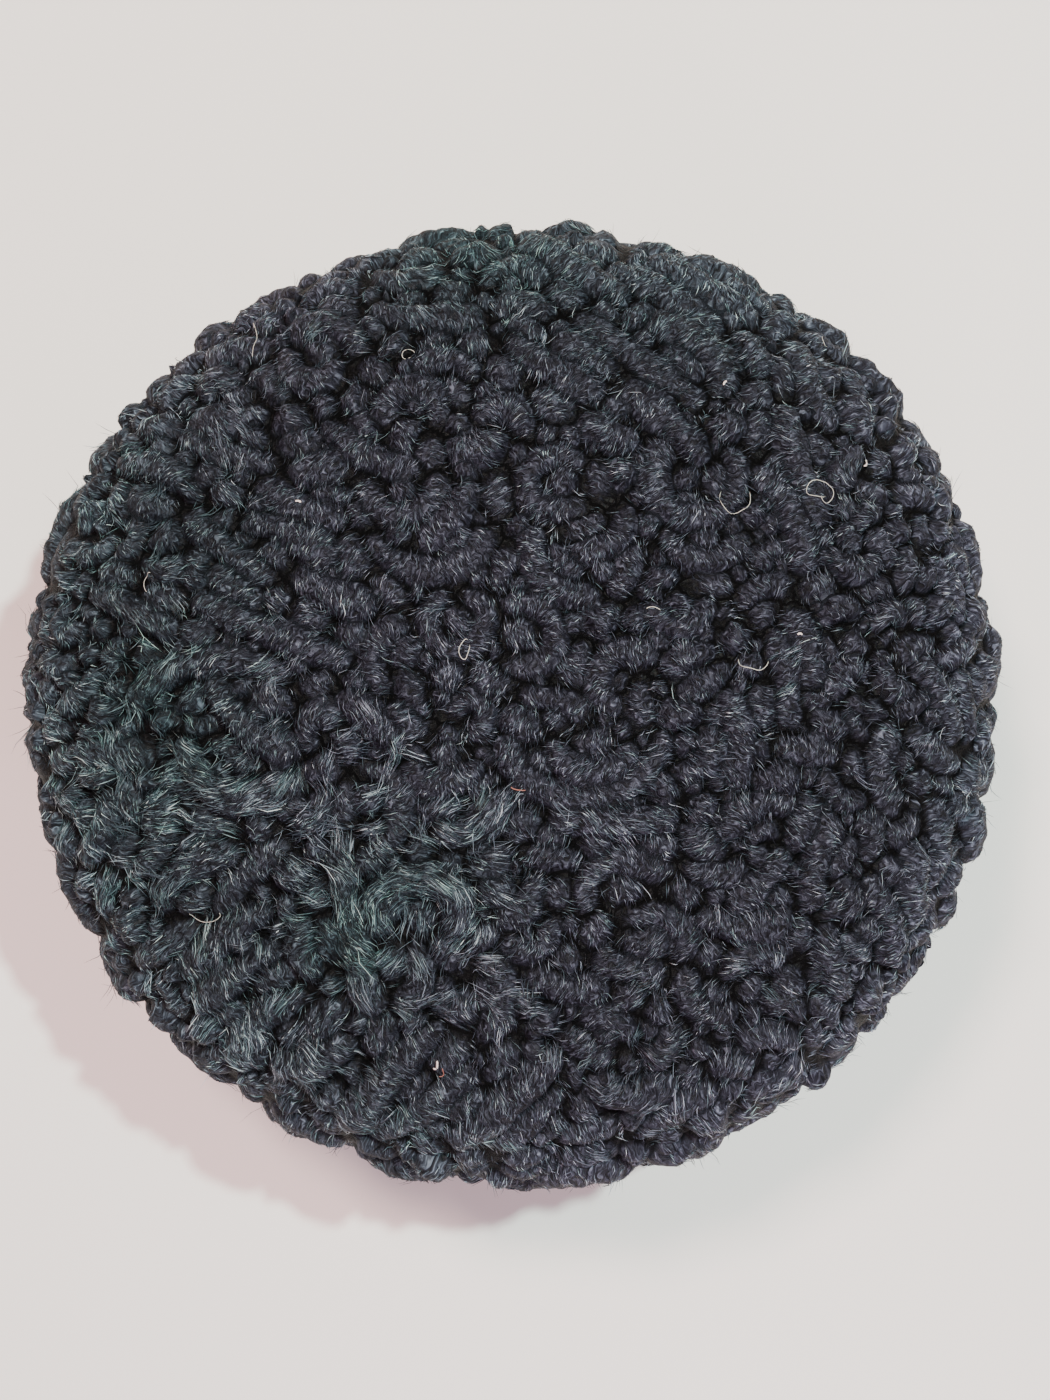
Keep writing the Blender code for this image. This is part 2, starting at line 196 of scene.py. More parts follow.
# How the curls run over the crown. Millimetres and degrees; loose is 0 tight to 1 combed out
regions = [
    Region(-58, 65, -8, 25, 12, 70, 5.8, 0.25),
    Region(-86, 26, 30, 90, 8, 150, 5.2, 0.35),
    Region(-48, 22, -32, 14, 17, 25, 5.0, 0.2),
    Region(-67, -14, 50, 30, 18, 70, 5.8, 0.8),
    Region(-18, 50, 0, 60, 15, 150, 5.4, 0.05),
    Region(-16, 77, -15, 40, 12, 90, 5.6, 0.2),
    Region(5, 14, 60, 90, 16, 180, 5.0, 0.0),
    Region(10, -18, 0, 30, 20, 110, 5.0, 0.1),
    Region(27, 78, -36, 10, 24, 12, 5.8, 0.1),
    Region(59, 67, -62, 18, 18, 40, 5.6, 0.1),
    Region(37, 31, -30, 60, 15, 140, 5.0, 0.0),
    Region(69, 22, 0, 90, 8, 120, 4.8, 0.05),
    Region(89, 5, -65, 20, 14, 30, 5.0, 0.15),
    Region(72, -35, -70, 35, 14, 70, 5.2, 0.1),
    Region(35, -42, 0, 60, 12, 110, 4.8, 0.2),
    Region(-18, -42, 60, 50, 16, 110, 5.4, 0.85),
    Region(-54, -55, 37, 10, 20, 15, 5.6, 0.5),
    Region(-16, -80, 48, 12, 24, 15, 6.0, 0.35),
    Region(35, -76, 22, 35, 13, 60, 5.6, 0.3),
    Region(-78, -35, 25, 25, 18, 60, 6.4, 0.75),
]
bandRegion = Region(0, 0, 25, 60, 15, 90, 6.6, 0.15)

# Curls that stand out on the crown, placed as seen from above. Millimetres and degrees
charted = [
    Charted(-22, 34, 0, 20, 170, 5.2, 0.0),
    Charted(-16, 22.5, 2, 27, 130, 5.6, 0.05),
    Charted(3, 40, -90, 25, 260, 5.2, 0.0),
    Charted(-11, 7.5, 0, 29, 300, 4.8, 0.0),
    Charted(8, 10.5, 90, 25, 230, 4.8, 0.0),
    Charted(14, -21, 3, 40, 140, 4.8, 0.1),
    Charted(15, -16, 0, 17, 130, 4.6, 0.05),
    Charted(30, 78, -35, 24, -10, 5.6, 0.05),
    Charted(12, 84, -38, 24, 4, 6.0, 0.05),
    Charted(36.5, 67, -45, 20, -60, 5.6, 0.0),
    Charted(58, 69, -65, 20, -30, 5.6, 0.0),
    Charted(35, 33, 0, 36, 250, 5.0, 0.0),
    Charted(36, 25, -5, 17, 120, 4.8, 0.0),
    Charted(53, 34, -65, 20, -40, 4.8, 0.0),
    Charted(45, 26, -80, 12, 6, 4.4, 0.0),
    Charted(31.5, 12, 0, 13, 150, 4.4, 0.0),
    Charted(21.5, 13.5, 20, 11, 40, 4.8, 0.0),
    Charted(56, 46, 90, 18, 260, 4.0, 0.0),
    Charted(-54, -55, 38, 20, -10, 5.0, 0.4),
    Charted(-56, -48, 38, 21, -15, 5.4, 0.5),
    Charted(-24, -74, 50, 26, -20, 6.0, 0.3),
    Charted(-18, -81, 40, 24, 10, 5.6, 0.3),
    Charted(-9, -88, 55, 22, -10, 5.6, 0.2),
    Charted(-55, 27, -35, 19, 5, 4.6, 0.1),
    Charted(-47, 11, -22, 30, 5, 5.0, 0.2),
    Charted(-60, 5.5, 10, 32, -80, 5.6, 0.8),
    Charted(-55, -20, -20, 26, 120, 5.6, 1.0),
    Charted(-18, -36, 0, 28, -200, 6.0, 0.9),
    Charted(-13, -46, 0, 18, 280, 4.0, 0.6),
    Charted(-31.5, -45, -80, 32, 10, 5.6, 1.0),
    Charted(19, -25.5, 0, 21, 10, 4.6, 0.4),
    Charted(44, -45.5, 0, 17, 60, 4.4, 0.2),
    Charted(22, -53, -10, 11, 5, 5.4, 0.3),
    Charted(-18, 74, -8, 20, 30, 5.4, 0.1),
    Charted(83, -2, -62, 16, 5, 4.6, 0.1),
]


# Arc through (x, y): x + L/T (sin(h + T s) - sin h), y - L/T (cos(h + T s) - cos h).
def centreLine(curl, share):
    turn = curl.turn if abs(curl.turn) > layout["minTurn"] else layout["minTurn"]
    angle = curl.heading + turn * share
    reach = curl.length / turn
    return np.stack([curl.x + reach * (np.sin(angle) - math.sin(curl.heading)),
                     curl.y - reach * (np.cos(angle) - math.cos(curl.heading))], axis=1)


# Charted curls, as seen from above, moved out to their arc length on the domed skin.
def chartedCurls():
    curls = []
    for row in charted:
        plan = math.hypot(row.x, row.y) * mm
        out = np.interp(plan, profile["radius"][:upper], profile["length"][:upper]) / plan * mm
        curls.append(Curl(row.x * out, row.y * out, math.radians(row.heading), row.length * mm,
                          math.radians(row.turn), 0.5 * row.width * mm, row.loose))
    return curls


# Named rows to one array for each name; rowsOf turns such arrays back to curls.
def columnsOf(rows):
    return {name: np.array([getattr(row, name) for row in rows]) for name in rows[0]._fields}


def rowsOf(curls):
    return [Curl(*row) for row in zip(*(curls[name] for name in Curl._fields))]


# A curl whose heading, length, turn and width are drawn about those of its region.
def drawnCurl(rng, x, y, region, share):
    heading = math.radians(region.heading + region.spread * rng.uniform(-1, 1))
    length = region.length * mm * share * rng.uniform(*layout["lengthSpread"])
    turn = math.radians(region.turn) * rng.uniform(*layout["turnSpread"])
    turn *= rng.choice([-1, 1]) * share
    halfWidth = 0.5 * region.width * mm * rng.uniform(*layout["widthSpread"])
    return Curl(x, y, heading, length, turn, halfWidth, region.loose)


# How much each region counts at a place on the crown, exp(-(distance / reach)^2 / 2),
# and the sum of it.
def regionWeights(x, y):
    near = np.array([math.hypot(x - row.x * mm, y - row.y * mm) for row in regions])
    weight = np.exp(-0.5 * (near / layout["regionReach"]) ** 2) + tiny
    return weight, weight.sum()


# A curl anywhere on the disc, at R * sqrt(chance) from its middle, in a region near it.
def crownCurl(rng, share):
    angle, out = rng.uniform(0, fullTurn), crownEdge * math.sqrt(rng.uniform(0, 1))
    x, y = out * math.cos(angle), out * math.sin(angle)
    weight, total = regionWeights(x, y)
    return drawnCurl(rng, x, y, regions[rng.choice(len(regions), p=weight / total)], share)


# A curl anywhere on the strip.
def bandCurl(rng, share):
    return drawnCurl(rng, rng.uniform(0, around), rng.uniform(bandEdge, rim), bandRegion, share)


def crownInside(points, margin):
    return bool(np.all(np.hypot(*points.T) < crownEdge - margin))


def bandInside(points, margin):
    x, y = points.T
    return bool(np.all((x > margin) & (x < around - margin)
                       & (y > bandEdge + margin) & (y < rim - margin)))


# Curls are thrown at random, long ones first, and each stays if its line is clear of all
# laid before it: nearer than closeness times the two half-widths is too near.
def layCurls(given, draw, inside, seed):
    rng = np.random.default_rng(seed)
    share = np.linspace(-0.5, 0.5, layout["linePoints"])
    laid, lines, widths = [], np.empty((0, 2)), np.empty(0)
    thrown = [(curl, layout["chartedCloseness"]) for curl in given]
    thrown += [(draw(rng, part), layout["laidCloseness"])
               for part, count in layout["passes"] for _ in range(count)]
    for curl, closeness in thrown:
        line = centreLine(curl, share)
        if not inside(line, layout["edgeCloseness"] * curl.halfWidth):
            continue
        if len(lines):
            apart = np.linalg.norm(line[:, None] - lines[None], axis=2)
            if np.any(apart < closeness * (curl.halfWidth + widths)[None]):
                continue
        laid.append(curl)
        lines = np.concatenate([lines, line])
        widths = np.concatenate([widths, np.full(layout["linePoints"], curl.halfWidth)])
    return columnsOf(laid)


# Short curls in the gaps, and rolls widened until they meet

gaps = {                     # millimetres and degrees where they apply
    "step": 0.8, "reach": 9, "smallest": 0.85, "narrow": 0.55, "headings": 12, "steps": 7,
    "widest": 2.7, "grow": 1.1, "turn": 25, "edge": 0.8, "linePoints": 15,
    "rise": 0.86,            # crest height of the short curls, as a share
    "stations": 9, "least": 0.85, "most": 1.7, "inBend": 0.72,     # shares of the half-width
    "overlap": 1.08, "near": 16, "farOff": 1000, "crownSeed": 5, "bandSeed": 6,
}


# Lowers the free distance on the grid to the distance from a line's points less half.
def carve(free, low, line, half):
    step, reach = gaps["step"] * mm, gaps["reach"] * mm
    first = np.maximum((line.min(axis=0) - reach - low) / step, 0).astype(int)
    last = np.maximum((line.max(axis=0) + reach - low) / step + 1, 0).astype(int)
    window = free[first[0]:last[0], first[1]:last[1]]
    x = (low[0] + (first[0] + np.arange(window.shape[0])) * step)[:, None, None]
    y = (low[1] + (first[1] + np.arange(window.shape[1])) * step)[None, :, None]
    away = np.hypot(x - line[:, 0], y - line[:, 1]).min(axis=2) - half
    np.minimum(window, away, out=window)


# Clear length from a grid spot along each heading, where it stays wide enough.
def clearWay(free, spot, room, way):
    heading = np.arange(gaps["headings"]) * math.pi / gaps["headings"]
    out = way * np.arange(1, gaps["steps"] + 1)
    column = np.rint(spot[0] + np.cos(heading)[:, None] * out).astype(int)
    row = np.rint(spot[1] + np.sin(heading)[:, None] * out).astype(int)
    inside = (column >= 0) & (column < free.shape[0]) & (row >= 0) & (row < free.shape[1])
    value = free[np.clip(column, 0, free.shape[0] - 1), np.clip(row, 0, free.shape[1] - 1)]
    wide = inside & (value > gaps["narrow"] * room)
    return np.cumprod(wide, axis=1).sum(axis=1) * gaps["step"] * mm


# Adds short curls in what the throws left, the widest gap first. Each lies along its gap,
# on the heading with the longest clear way, and is as wide as the gap.
def fillGaps(curls, edgeRoom, low, high, looseAt, seed):
    rng = np.random.default_rng(seed)
    step, low = gaps["step"] * mm, np.array(low)
    x, y = np.meshgrid(np.arange(low[0], high[0], step), np.arange(low[1], high[1], step),
                       indexing="ij")
    free = np.minimum(edgeRoom(x, y) + gaps["edge"] * mm, gaps["reach"] * mm)
    share = np.linspace(-0.5, 0.5, gaps["linePoints"])
    rows = rowsOf(curls)
    laid = len(rows)
    for curl in rows:
        carve(free, low, centreLine(curl, share), curl.halfWidth)
    while free.max() > gaps["smallest"] * mm:
        spot = np.unravel_index(free.argmax(), free.shape)
        ahead, behind = clearWay(free, spot, free[spot], 1), clearWay(free, spot, free[spot], -1)
        best = int(np.argmax(ahead + behind))
        heading = best * math.pi / gaps["headings"]
        shift = 0.5 * (ahead[best] - behind[best])
        at = low + np.array(spot) * step + shift * np.array([math.cos(heading), math.sin(heading)])
        turn = math.radians(gaps["turn"]) * rng.uniform(-1, 1)
        half = min(free[spot] * gaps["grow"], gaps["widest"] * mm)
        curl = Curl(*at, heading, max(ahead[best] + behind[best], step), turn, half, looseAt(*at))
        rows.append(curl)
        carve(free, low, centreLine(curl, share), half)
        free[spot] = 0
    filled = columnsOf(rows)
    filled["rise"] = np.where(np.arange(len(rows)) < laid, 1.0, gaps["rise"])
    return filled


# How far each roll reaches to its left and right at stations along it: to the line midway
# to its neighbours, |v|^2 / (2 v.n) shared out by half-widths, held near its own half-width
# and short of the middle of its own bend, then smoothed along the roll by 1, 2, 1.
def fitReach(curls):
    share = np.linspace(-0.5, 0.5, gaps["stations"])
    rows = rowsOf(curls)
    lines = np.stack([centreLine(curl, share) for curl in rows])
    heading = curls["heading"][:, None] + curls["turn"][:, None] * share
    normal = np.stack([-np.sin(heading), np.cos(heading)], axis=-1)
    points, owner = lines.reshape(-1, 2), np.repeat(np.arange(len(rows)), gaps["stations"])
    reach = np.empty((len(rows), gaps["stations"], 2))
    for k, curl in enumerate(rows):
        close = np.abs(points - [curl.x, curl.y]).max(axis=1) < gaps["near"] * mm + curl.length
        close &= owner != k
        away = points[close][None] - lines[k][:, None]
        across = (away * normal[k][:, None]).sum(axis=2)
        weight = 2 * curl.halfWidth / (curl.halfWidth + curls["halfWidth"][owner[close]])
        midway = (away ** 2).sum(axis=2) / (2 * np.abs(across) + tiny) * weight
        for side, sign in enumerate((1, -1)):
            reach[k, :, side] = np.where(across * sign > 0, midway, gaps["farOff"] * mm).min(axis=1)
    half = curls["halfWidth"][:, None, None]
    reach = np.clip(reach * gaps["overlap"], gaps["least"] * half, gaps["most"] * half)
    bend = gaps["inBend"] * curls["length"] / np.maximum(np.abs(curls["turn"]), layout["minTurn"])
    inner = (curls["turn"] < 0).astype(int)
    every = np.arange(len(rows))
    reach[every, :, inner] = np.minimum(reach[every, :, inner], bend[:, None])
    smooth = reach.copy()
    smooth[:, 1:-1] = 0.25 * reach[:, :-2] + 0.5 * reach[:, 1:-1] + 0.25 * reach[:, 2:]
    return {**curls, "reach": smooth}


# Looseness of the regions about a place on the crown, weighted by nearness.
def crownLoose(x, y):
    weight, total = regionWeights(x, y)
    return float(weight @ np.array([row.loose for row in regions]) / total)


crownCurls = layCurls(chartedCurls(), crownCurl, crownInside, layout["crownSeed"])
bandCurls = layCurls([], bandCurl, bandInside, layout["bandSeed"])
print("curls laid:", len(crownCurls["x"]), "on the crown,", len(bandCurls["x"]), "on the band")
crownCurls = fitReach(fillGaps(crownCurls, lambda x, y: crownEdge - np.hypot(x, y),
                               (-crownEdge, -crownEdge), (crownEdge, crownEdge), crownLoose,
                               gaps["crownSeed"]))
bandCurls = fitReach(fillGaps(
    bandCurls, lambda x, y: np.minimum(np.minimum(x, around - x), np.minimum(y - bandEdge, rim - y)),
    (0, bandEdge), (around, rim), lambda x, y: bandRegion.loose, gaps["bandSeed"]))
print("with the gaps filled:", len(crownCurls["x"]), "on the crown,",
      len(bandCurls["x"]), "on the band")


# Meshes from arrays

# Quads between neighbouring rows of points, each row closed on itself.
def ringFaces(rows, sides, closeRows):
    row, side = np.meshgrid(np.arange(rows if closeRows else rows - 1), np.arange(sides),
                            indexing="ij")
    beside, below = (side + 1) % sides, (row + 1) % rows
    return np.stack([row * sides + side, row * sides + beside,
                     below * sides + beside, below * sides + side], axis=-1).reshape(-1, 4)


# Fans of triangles from the first row to the first tip and the last row to the last.
def tipFaces(rows, sides):
    side = np.arange(sides)
    beside, first, end = (side + 1) % sides, rows * sides, (rows - 1) * sides
    return np.concatenate([np.stack([np.full(sides, first), beside, side], axis=1),
                           np.stack([np.full(sides, first + 1), end + side, end + beside],
                                    axis=1)])


# Mesh object from whole arrays: corners, quads, triangles, a UV pair and float values
# for each corner.
def arrayMesh(name, verts, quads, tris, maps, floats):
    mesh = bpy.data.meshes.new(name)
    mesh.vertices.add(len(verts))
    mesh.vertices.foreach_set("co", verts.astype(np.float32).ravel())
    corners = np.concatenate([quads.ravel(), tris.ravel()]).astype(np.int32)
    sizes = np.concatenate([np.full(len(quads), 4), np.full(len(tris), 3)])
    mesh.loops.add(len(corners))
    mesh.loops.foreach_set("vertex_index", corners)
    mesh.polygons.add(len(sizes))
    starts = np.concatenate([[0], np.cumsum(sizes)[:-1]]).astype(np.int32)
    mesh.polygons.foreach_set("loop_start", starts)
    mesh.update(calc_edges=True)
    layer = mesh.uv_layers.new(name="lie")
    layer.data.foreach_set("uv", maps[corners].astype(np.float32).ravel())
    for label, values in floats.items():
        attribute = mesh.attributes.new(label, "FLOAT", "POINT")
        attribute.data.foreach_set("value", values.astype(np.float32).ravel())
    mesh.shade_smooth()
    piece = bpy.data.objects.new(name, mesh)
    bpy.context.scene.collection.objects.link(piece)
    return piece


# Many closed tubes at once, from rings[tube, row, side] and tips[tube, end].
def tubesMesh(name, rings, tips, maps, tipMaps, floats):
    tubes, rows, sides = rings.shape[:3]
    size = rows * sides + 2
    verts = np.concatenate([rings.reshape(tubes, -1, 3), tips], axis=1).reshape(-1, 3)
    uv = np.concatenate([maps.reshape(tubes, -1, 2), tipMaps], axis=1).reshape(-1, 2)
    shift = (np.arange(tubes) * size)[:, None, None]
    quads = (ringFaces(rows, sides, False)[None] + shift).reshape(-1, 4)
    tris = (tipFaces(rows, sides)[None] + shift).reshape(-1, 3)
    perPoint = {label: np.repeat(values, size) for label, values in floats.items()}
    return arrayMesh(name, verts, quads, tris, uv, perPoint)


# Gives a piece its materials and its body, and hides the CAD node that it replaces. The slot is not
# used.
def settle(piece, node, slot, *materials):
    for material in materials:
        piece.data.materials.append(material)
    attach(piece, "root")
    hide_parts(node)
    return piece


# Where the fur gets a painted green sheen: x, y and reach in the crown's plan, millimetres, and
# strength

greenSheenSpots = [(-12, 96, 14, 0.7), (-92, 30, 22, 0.35), (-88, -20, 22, 0.4), (-64, -68, 24, 0.35),
              (-32, -48, 7, 0.55), (-62, -10, 9, 0.4), (-24, -36, 9, 0.3), (-73, 2, 6, 0.35),
              (-56, 27, 8, 0.25), (-8, -36, 8, 0.25), (-90, 60, 20, 0.3), (60, 90, 20, 0.25),
              (-20, -100, 16, 0.3), (98, -20, 12, 0.2), (24, 94, 22, 0.3)]
# Painted rim light: the fur is painted lighter towards the shoulder, from and to as plan radii.
paintedRimLight = {"from": 76, "to": 101, "gain": 0.75}     # plan radii in mm, share of brightness


# Sum of Gaussian spots, exp(-(d / reach)^2 / 2) times strength, over points in plan.
def greenSheenAt(points):
    total = 0.0
    for x, y, reach, strength in greenSheenSpots:
        away = np.hypot(points[..., 0] - x * mm, points[..., 1] - y * mm) / (reach * mm)
        total = total + strength * np.exp(-0.5 * away ** 2)
    return np.clip(total, 0, 1)


# 0 in the middle of the crown and 1 at the shoulder, where the fur is painted lighter as painted rim
# light, by t t (3 - 2 t) with t the share of the way out.
def paintedRimLightAt(points):
    plan = np.hypot(points[..., 0], points[..., 1]) / mm
    t = np.clip((plan - paintedRimLight["from"]) / (paintedRimLight["to"] - paintedRimLight["from"]), 0, 1)
    return t * t * (3 - 2 * t)


# Relief: the rolls of all the curls, melted into one soft surface

relief = {                   # millimetres, degrees and shares
    "crest": 6.2, "crestSpread": 0.16, "tilt": 0.45, "endDrop": 0.16, "endReach": 0.8,
    "square": 2.1, "steep": 3.4, "rootReach": 0.28, "rootDrop": 1.9,     # across the roll
    "swell": 0.08, "swellWave": 2.1, "taper": 0.16, "taperMost": 0.3, "placeMost": 1.3,
    "groove": 0.07, "grooveWave": 0.33, "grooveBend": 1.5, "patternShift": 7.3,
    "lean": 22, "along": 72, "leanMost": 1.1,        # the last in radians
    "downhill": 0.8,         # share of rolls that overhang in these directions of the patterns
    "crownOverhang": (0.35, -0.94), "bandOverhang": (0.0, 1.0), "seed": 23,
    "blend": 8.0, "ground": 3.2, "deepest": 3, "cell": 0.4, "window": 6.5,
    "overSeam": 1.3, "roundEdge": 1.8, "sewn": 1.0, "lowest": 0.6,
    "crownCells": 284, "bandColumns": 700, "bandRows": 104, "underRows": 6,
    "underRings": (1.0, 0.96, 0.88, 0.75, 0.5, 0.2),
}


# Values of each roll that do not change along it. Its hair is rooted on one side and
# overhangs on the other, which mostly faces the overhang direction of the pattern. The
# hair crosses the roll, give or take its lean, and the looser it is the more it lies along.
def rollShape(curls, overhang, rng):
    count = len(curls["x"])
    turn = np.where(np.abs(curls["turn"]) > layout["minTurn"], curls["turn"], layout["minTurn"])
    spread, share = relief["crestSpread"], relief["downhill"]
    facing = np.cos(curls["heading"]) * overhang[1] - np.sin(curls["heading"]) * overhang[0]
    lean = (math.radians(relief["lean"]) * rng.normal(0, 1, count)
            + math.radians(relief["along"]) * curls["loose"] * rng.choice([-1, 1], count))
    return {**curls, "turn": turn,
            "crest": relief["crest"] * mm * curls["rise"] * (1 + spread * rng.uniform(-1, 1, count)),
            "tilt": rng.normal(0, relief["tilt"], count) * mm,
            "phase": rng.uniform(0, fullTurn, (count, 3)),
            "hand": np.where(facing < 0, -1.0, 1.0) * rng.choice([1, -1], count, p=[share, 1 - share]),
            "lean": lean,
            "taper": rng.normal(0, relief["taper"], count)}


# Where pattern points are on their rolls: the way along the arc from its middle, the way
# out to its left, and its heading there. The arc's centre is (x - b sin h, y + b cos h),
# with b its signed radius.
def rollPlace(shape, who, x, y):
    heading, bend = shape["heading"][who], shape["length"][who] / shape["turn"][who]
    fromX = x - shape["x"][who] + bend * np.sin(heading)
    fromY = y - shape["y"][who] - bend * np.cos(heading)
    way = np.sign(bend)
    there = np.arctan2(way * fromX, -way * fromY)
    turned = (there - heading + math.pi) % fullTurn - math.pi
    return turned * bend, bend - way * np.hypot(fromX, fromY), heading + turned


# A value held between -most and most.
def held(value, most):
    return min(max(value, -most), most)


# Lift of a roll's surface at pattern points, crest - drop - half (1 - (1 - u^p)^(1/p)),
# where u is the way out from its centre line over its reach. Past u = 1 it falls steeply.
# The root side runs out wider and lower, and low waves cross the roll as its locks do.
def rollHeight(shape, who, x, y):
    along, side, _ = rollPlace(shape, who, x, y)
    half, length, phase = shape["halfWidth"][who], shape["length"][who], shape["phase"][who]
    past = np.maximum(np.abs(along) - 0.5 * length, 0) / relief["endReach"]
    out = np.hypot(side, past) + tiny
    station = np.clip((along / length + 0.5) * (gaps["stations"] - 1), 0, gaps["stations"] - 1)
    before = np.minimum(station.astype(int), gaps["stations"] - 2)
    reach, part = shape["reach"][who], (station - before)[..., None]
    reach = (1 - part) * reach[before] + part * reach[before + 1]
    leftShare = 0.5 + 0.5 * side / out
    rootShare = np.maximum((1 - 2 * leftShare) * shape["hand"][who], 0)
    wide = leftShare * reach[..., 0] + (1 - leftShare) * reach[..., 1]
    place = np.clip(2 * along / length, -relief["placeMost"], relief["placeMost"])
    wide = wide * (1 + relief["rootReach"] * rootShare) * (
        1 + relief["swell"] * np.sin(along / (relief["swellWave"] * mm) + phase[0]))
    wide = wide * (1 + held(shape["taper"][who], relief["taperMost"]) * place)
    u = out / wide
    power = relief["square"]
    height = shape["crest"][who] - half * (1 - np.maximum(1 - u ** power, 0) ** (1 / power))
    height = height - relief["steep"] * half * np.maximum(u - 1, 0)
    height = height - relief["rootDrop"] * mm * rootShare * np.minimum(u, 1) ** 2
    height = height - relief["endDrop"] * shape["crest"][who] * np.abs(place) ** 3
    height = height + shape["tilt"][who] * place
    across = along - side * math.tan(held(shape["lean"][who], relief["leanMost"]))
    wave = np.sin(across / (relief["grooveWave"] * mm) + phase[1]
                  + relief["grooveBend"] * np.sin(side / mm))
    return height + relief["groove"] * mm * wave * np.clip(2 - 2 * u, 0, 1)


# Height over the flat pattern, ln(sum of e^(blend height)) / blend of the ground and all
# the rolls near each spot, and which roll is the highest there.
def meltRolls(shape, low, high):
    cell, blend = relief["cell"] * mm, relief["blend"] / mm
    x = np.arange(low[0], high[0] + cell, cell)
    y = np.arange(low[1], high[1] + cell, cell)
    ground, deepest = relief["ground"] * mm, -relief["deepest"] * mm
    total = np.ones((len(x), len(y)))
    top = np.full(total.shape, -1.0)          # lower than any roll
    who = np.zeros(total.shape, int)
    for k, length in enumerate(shape["length"]):
        away = 0.5 * length + relief["window"] * mm
        columns = slice(*np.searchsorted(x, shape["x"][k] + np.array([-away, away])))
        rows = slice(*np.searchsorted(y, shape["y"][k] + np.array([-away, away])))
        height = rollHeight(shape, k, x[columns, None], y[None, rows])
        total[columns, rows] += np.exp(blend * np.maximum(height - ground, deepest))
        higher = height > top[columns, rows]
        top[columns, rows] = np.where(higher, height, top[columns, rows])
        who[columns, rows] = np.where(higher, k, who[columns, rows])
    return {"low": np.array(low), "height": ground + np.log(total) / blend, "who": who}


# Height between the grid's spots, from the four about it weighted by nearness, and the
# roll that is the highest at the nearest one.
def landAt(land, x, y):
    height, cell = land["height"], relief["cell"] * mm
    edge = 1.001                               # keeps the last column and row inside
    column = np.clip((x - land["low"][0]) / cell, 0, height.shape[0] - edge)
    row = np.clip((y - land["low"][1]) / cell, 0, height.shape[1] - edge)
    i, j = column.astype(int), row.astype(int)
    a, b = column - i, row - j
    level = ((1 - a) * (1 - b) * height[i, j] + a * (1 - b) * height[i + 1, j]
             + (1 - a) * b * height[i, j + 1] + a * b * height[i + 1, j + 1])
    return level, land["who"][np.rint(column).astype(int), np.rint(row).astype(int)]


# The curls of one node as a closed piece. The first points are its fur side, at the relief's height,
# rounded off towards the edge by sqrt(1 - (1 - t)^2); the points of under close it inside the pelt.
# Its UV, in millimetres, has u along each roll and v across it, turned by the roll's lean, and deep is
# 0 in the gaps and 1 on the crests; it sets the painted shade in the gaps.
def reliefPiece(name, node, shape, land, toCap, x, y, inEdge, under, quads, tris, material):
    level, who = landAt(land, x, y)
    t = np.clip(inEdge / (relief["roundEdge"] * mm), 0, 1)
    sewn = relief["sewn"] * mm
    level = sewn + (level - sewn) * np.sqrt(1 - (1 - t) ** 2)
    fur = toCap(x, y, level)
    along, side, _ = rollPlace(shape, who, x, y)
    lean = shape["lean"][who]
    turned = np.stack([along * np.cos(lean) - side * np.sin(lean),
                       along * np.sin(lean) + side * np.cos(lean)], axis=1)
    turned = turned / mm + relief["patternShift"] * shape["phase"][who, :2]
    verts = np.concatenate([fur, under])
    maps = np.concatenate([turned, np.zeros((len(under), 2))])
    lowest, crest = relief["ground"] * mm, relief["crest"] * mm
    deep = np.clip((level - lowest) / (crest - lowest), 0, 1)
    deep = np.concatenate([deep, np.zeros(len(under))])
    # The rim attribute carries the painted rim light towards the shoulder.
    piece = arrayMesh(name, verts, quads, tris, maps, {"deep": deep, "green": greenSheenAt(verts),
                                                         "paintedRimLight": paintedRimLightAt(verts)})
    return settle(piece, node, "karakul_fur", material)


# A square net drawn onto a disc: each square ring becomes a circle, with radius the
# larger of |u| and |v| and an angle of an eighth turn times their ratio. Rings of points
# under its edge close it.
def makeCrownRelief(shape, land, material):
    cells, edge = relief["crownCells"], crownEdge + relief["overSeam"] * mm
    u, v = np.meshgrid(*2 * [np.linspace(-1, 1, cells + 1)], indexing="ij")
    wide = np.abs(u) >= np.abs(v)
    radius, other = np.where(wide, u, v), np.where(wide, v, u)
    turn = 0.5 * quarterTurn * other / np.where(radius == 0, 1, radius)
    angle = np.where(wide, turn, quarterTurn - turn)
    x, y = edge * radius * np.cos(angle), edge * radius * np.sin(angle)
    order = np.arange(x.size).reshape(x.shape)
    quads = np.stack([order[:-1, :-1], order[1:, :-1], order[1:, 1:], order[:-1, 1:]],
                     axis=-1).reshape(-1, 4)
    loop = np.concatenate([order[:-1, 0], order[-1, :-1], order[:0:-1, -1], order[0, :0:-1]])
    edgeX, edgeY = x.ravel()[loop], y.ravel()[loop]
    share = np.array(relief["underRings"])[:, None]
    under = crownPoint(share * edgeX, share * edgeY, np.full(edgeX.shape, relief["lowest"] * mm))
    pole = crownPoint(np.zeros(1), np.zeros(1), np.full(1, relief["lowest"] * mm))
    rings = np.concatenate([loop[None], x.size + np.arange(len(share) * len(loop))
                            .reshape(len(share), -1)])
    beside = np.roll(rings, -1, axis=1)
    walls = np.stack([rings[1:], beside[1:], beside[:-1], rings[:-1]], axis=-1).reshape(-1, 4)
    middle = np.full(len(loop), x.size + len(share) * len(loop))
    fan = np.stack([middle, beside[-1], rings[-1]], axis=1)
    under = np.concatenate([under.reshape(-1, 3), pole])
    return reliefPiece("crown_curls", "crown", shape, land, crownPoint, x.ravel(), y.ravel(),
                       edge - np.hypot(x, y).ravel(), under, np.concatenate([quads, walls]), fan,
                       material)


